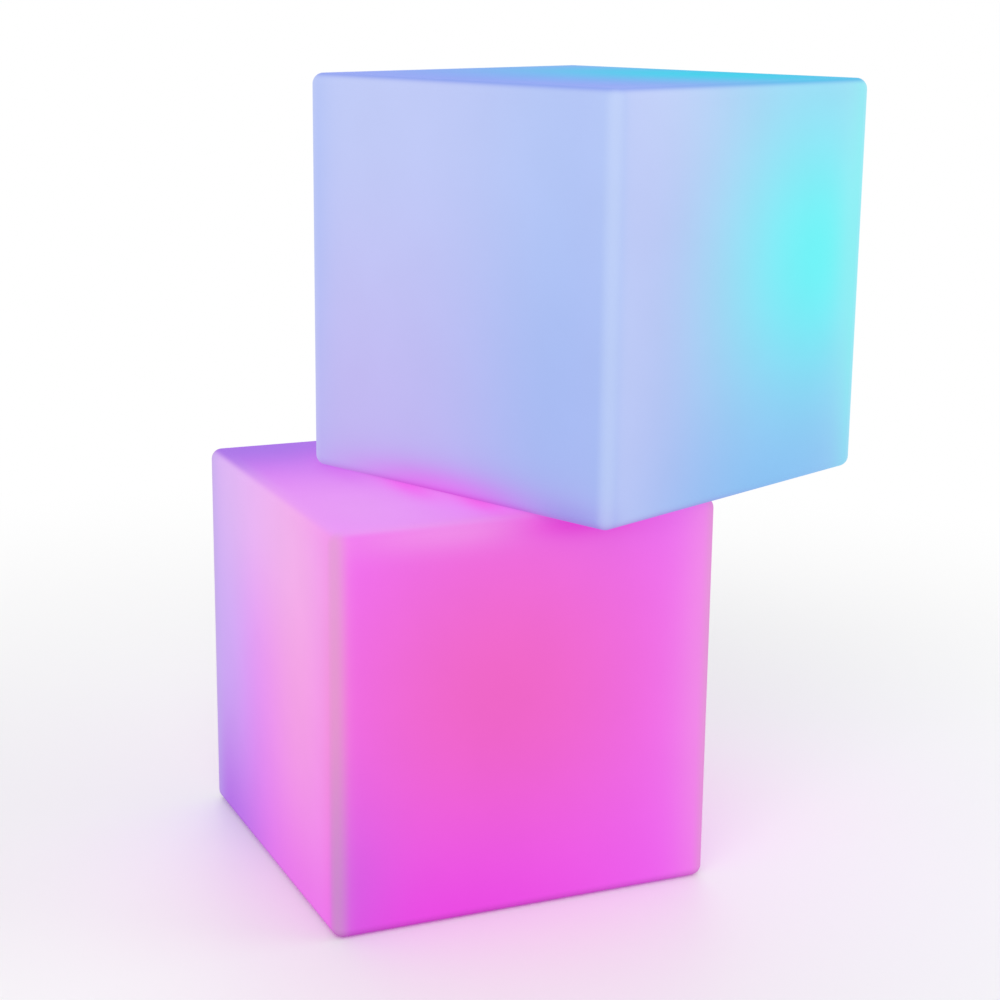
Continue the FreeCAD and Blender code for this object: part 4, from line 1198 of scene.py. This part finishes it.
@dataclass(frozen=True)
class Studio:
    """Pale floor that fades to white, soft lamps and an even room."""

    floor_colour: str = "F8F8F8"
    floor_roughness: float = 0.5
    floor_radius: float = 14.0
    fade_start: float = 0.5
    fade_end: float = 1.7
    room: float = 0.72
    rings: int = 24
    spokes: int = 96

    def build(self) -> None:
        """Lay the floor, light the room and hang the lamps."""
        self.lay_floor()
        self.light_room()
        SoftLamp("key_lamp", (-1.6, -2.4, 2.6), 2.4, 34.0).hang()
        SoftLamp("fill_lamp", (2.6, -1.0, 1.8), 2.2, 15.0).hang()
        SoftLamp("back_lamp", (0.6, 2.6, 2.2), 2.0, 10.0).hang()

    def sees_white(self, tree: Tree) -> Socket:
        """Tell which rays see plain white: the camera's, and those by gloss and through glass.

        Args:
            tree: the nodes of the floor or the world.

        Returns:
            The socket, 1 for those rays and 0 for the rest.
        """
        ray = add_node(tree, "LightPath", {}, {})
        plus = {"operation": "ADD", "use_clamp": True}
        white = add_node(tree, "Math", plus, {0: ray["Is Camera Ray"], 1: ray["Is Glossy Ray"]})[0]
        return add_node(tree, "Math", plus, {0: white, 1: ray["Is Transmission Ray"]})[0]

    def lay_floor(self) -> None:
        """Lay a round floor in rings that are finest under the lights."""
        points = [ORIGIN]
        faces = []
        for step in range(1, self.rings + 1):
            radius = self.floor_radius * (step / self.rings) ** 2
            first = len(points)
            for i in range(self.spokes):
                angle, j = FULL_TURN * i / self.spokes, (i + 1) % self.spokes
                points.append((radius * math.cos(angle), radius * math.sin(angle), 0.0))
                inner = [0] if step == 1 else [first - self.spokes + j, first - self.spokes + i]
                faces.append([first + i, first + j, *inner])
        data = bpy.data.meshes.new("studio_floor")
        data.from_pydata(points, [], faces)
        data.materials.append(self.floor_material())
        floor = link_object("studio_floor", data)

    def floor_material(self) -> bpy.types.Material:
        """Paint the floor matt and pale, fading to white away from the lights.

        Returns:
            The floor's material.
        """
        material = bpy.data.materials.new("matt_floor_paint")
        material.use_nodes = True
        tree = material.node_tree
        shader = tree.nodes["Principled BSDF"]
        connect(shader, {"Base Color": linear(self.floor_colour), "Roughness": self.floor_roughness}, {})
        where = add_node(tree, "TexCoord", {}, {})["Object"]
        length = add_node(tree, "VectorMath", {"operation": "LENGTH"}, {0: where})["Value"]
        limits = {"From Min": self.fade_start, "From Max": self.fade_end}
        smooth = {"interpolation_type": "SMOOTHSTEP"}
        fade = add_node(tree, "MapRange", smooth | limits, {"Value": length})[0]
        fade = add_node(tree, "Math", {"operation": "MULTIPLY"}, {0: fade, 1: self.sees_white(tree)})[0]
        white = add_node(tree, "Emission", {"Strength": 1.0}, {})[0]
        mix = add_node(tree, "MixShader", {}, {0: fade, 1: shader.outputs[0], 2: white})[0]
        connect(tree.nodes["Material Output"], {}, {"Surface": mix})
        return material

    def light_room(self) -> None:
        """Light an even grey room that shows white to the camera."""
        world = bpy.data.worlds.new("studio_room")
        world.use_nodes = True
        bpy.context.scene.world = world
        tree = world.node_tree
        limits = {"To Min": self.room, "To Max": 1.0}
        strength = add_node(tree, "MapRange", limits, {"Value": self.sees_white(tree)})[0]
        connect(tree.nodes["Background"], {"Color": linear("FFFFFF")}, {"Strength": strength})


@dataclass(frozen=True)
class PhotoCamera:
    """The camera as it stood: place in metres, heading from +Y towards +X, pitch down and roll in degrees."""

    place: Point = (-0.7984, -1.9245, 0.8858)
    heading: float = 23.906
    pitch: float = 13.898
    roll: float = 0.648
    lens: float = 74.815
    sensor: float = 36.0

    def build(self) -> None:
        """Set the camera up and make it the scene's."""
        matrix = Matrix.Translation(self.place)
        for angle, axis in ((-self.heading, "Z"), (90.0 - self.pitch, "X"), (self.roll, "Z")):
            matrix = matrix @ Matrix.Rotation(math.radians(angle), 4, axis)
        data = bpy.data.cameras.new("photo_camera")
        data.lens = self.lens
        data.sensor_width = self.sensor
        camera = link_object("photo_camera", data)
        camera.matrix_world = matrix
        bpy.context.scene.camera = camera


def main() -> None:
    """Build the camera, the studio and both lights."""
    logging.basicConfig(level=logging.INFO, format="%(name)s %(message)s")
    bpy.context.scene.view_settings.view_transform = "Standard"
    PhotoCamera().build()
    Studio().build()
    CubeLight(Place.LOWER, LOWER_GLOW).build()
    CubeLight(Place.UPPER, UPPER_GLOW).build()


if __name__ == "__main__":
    main()
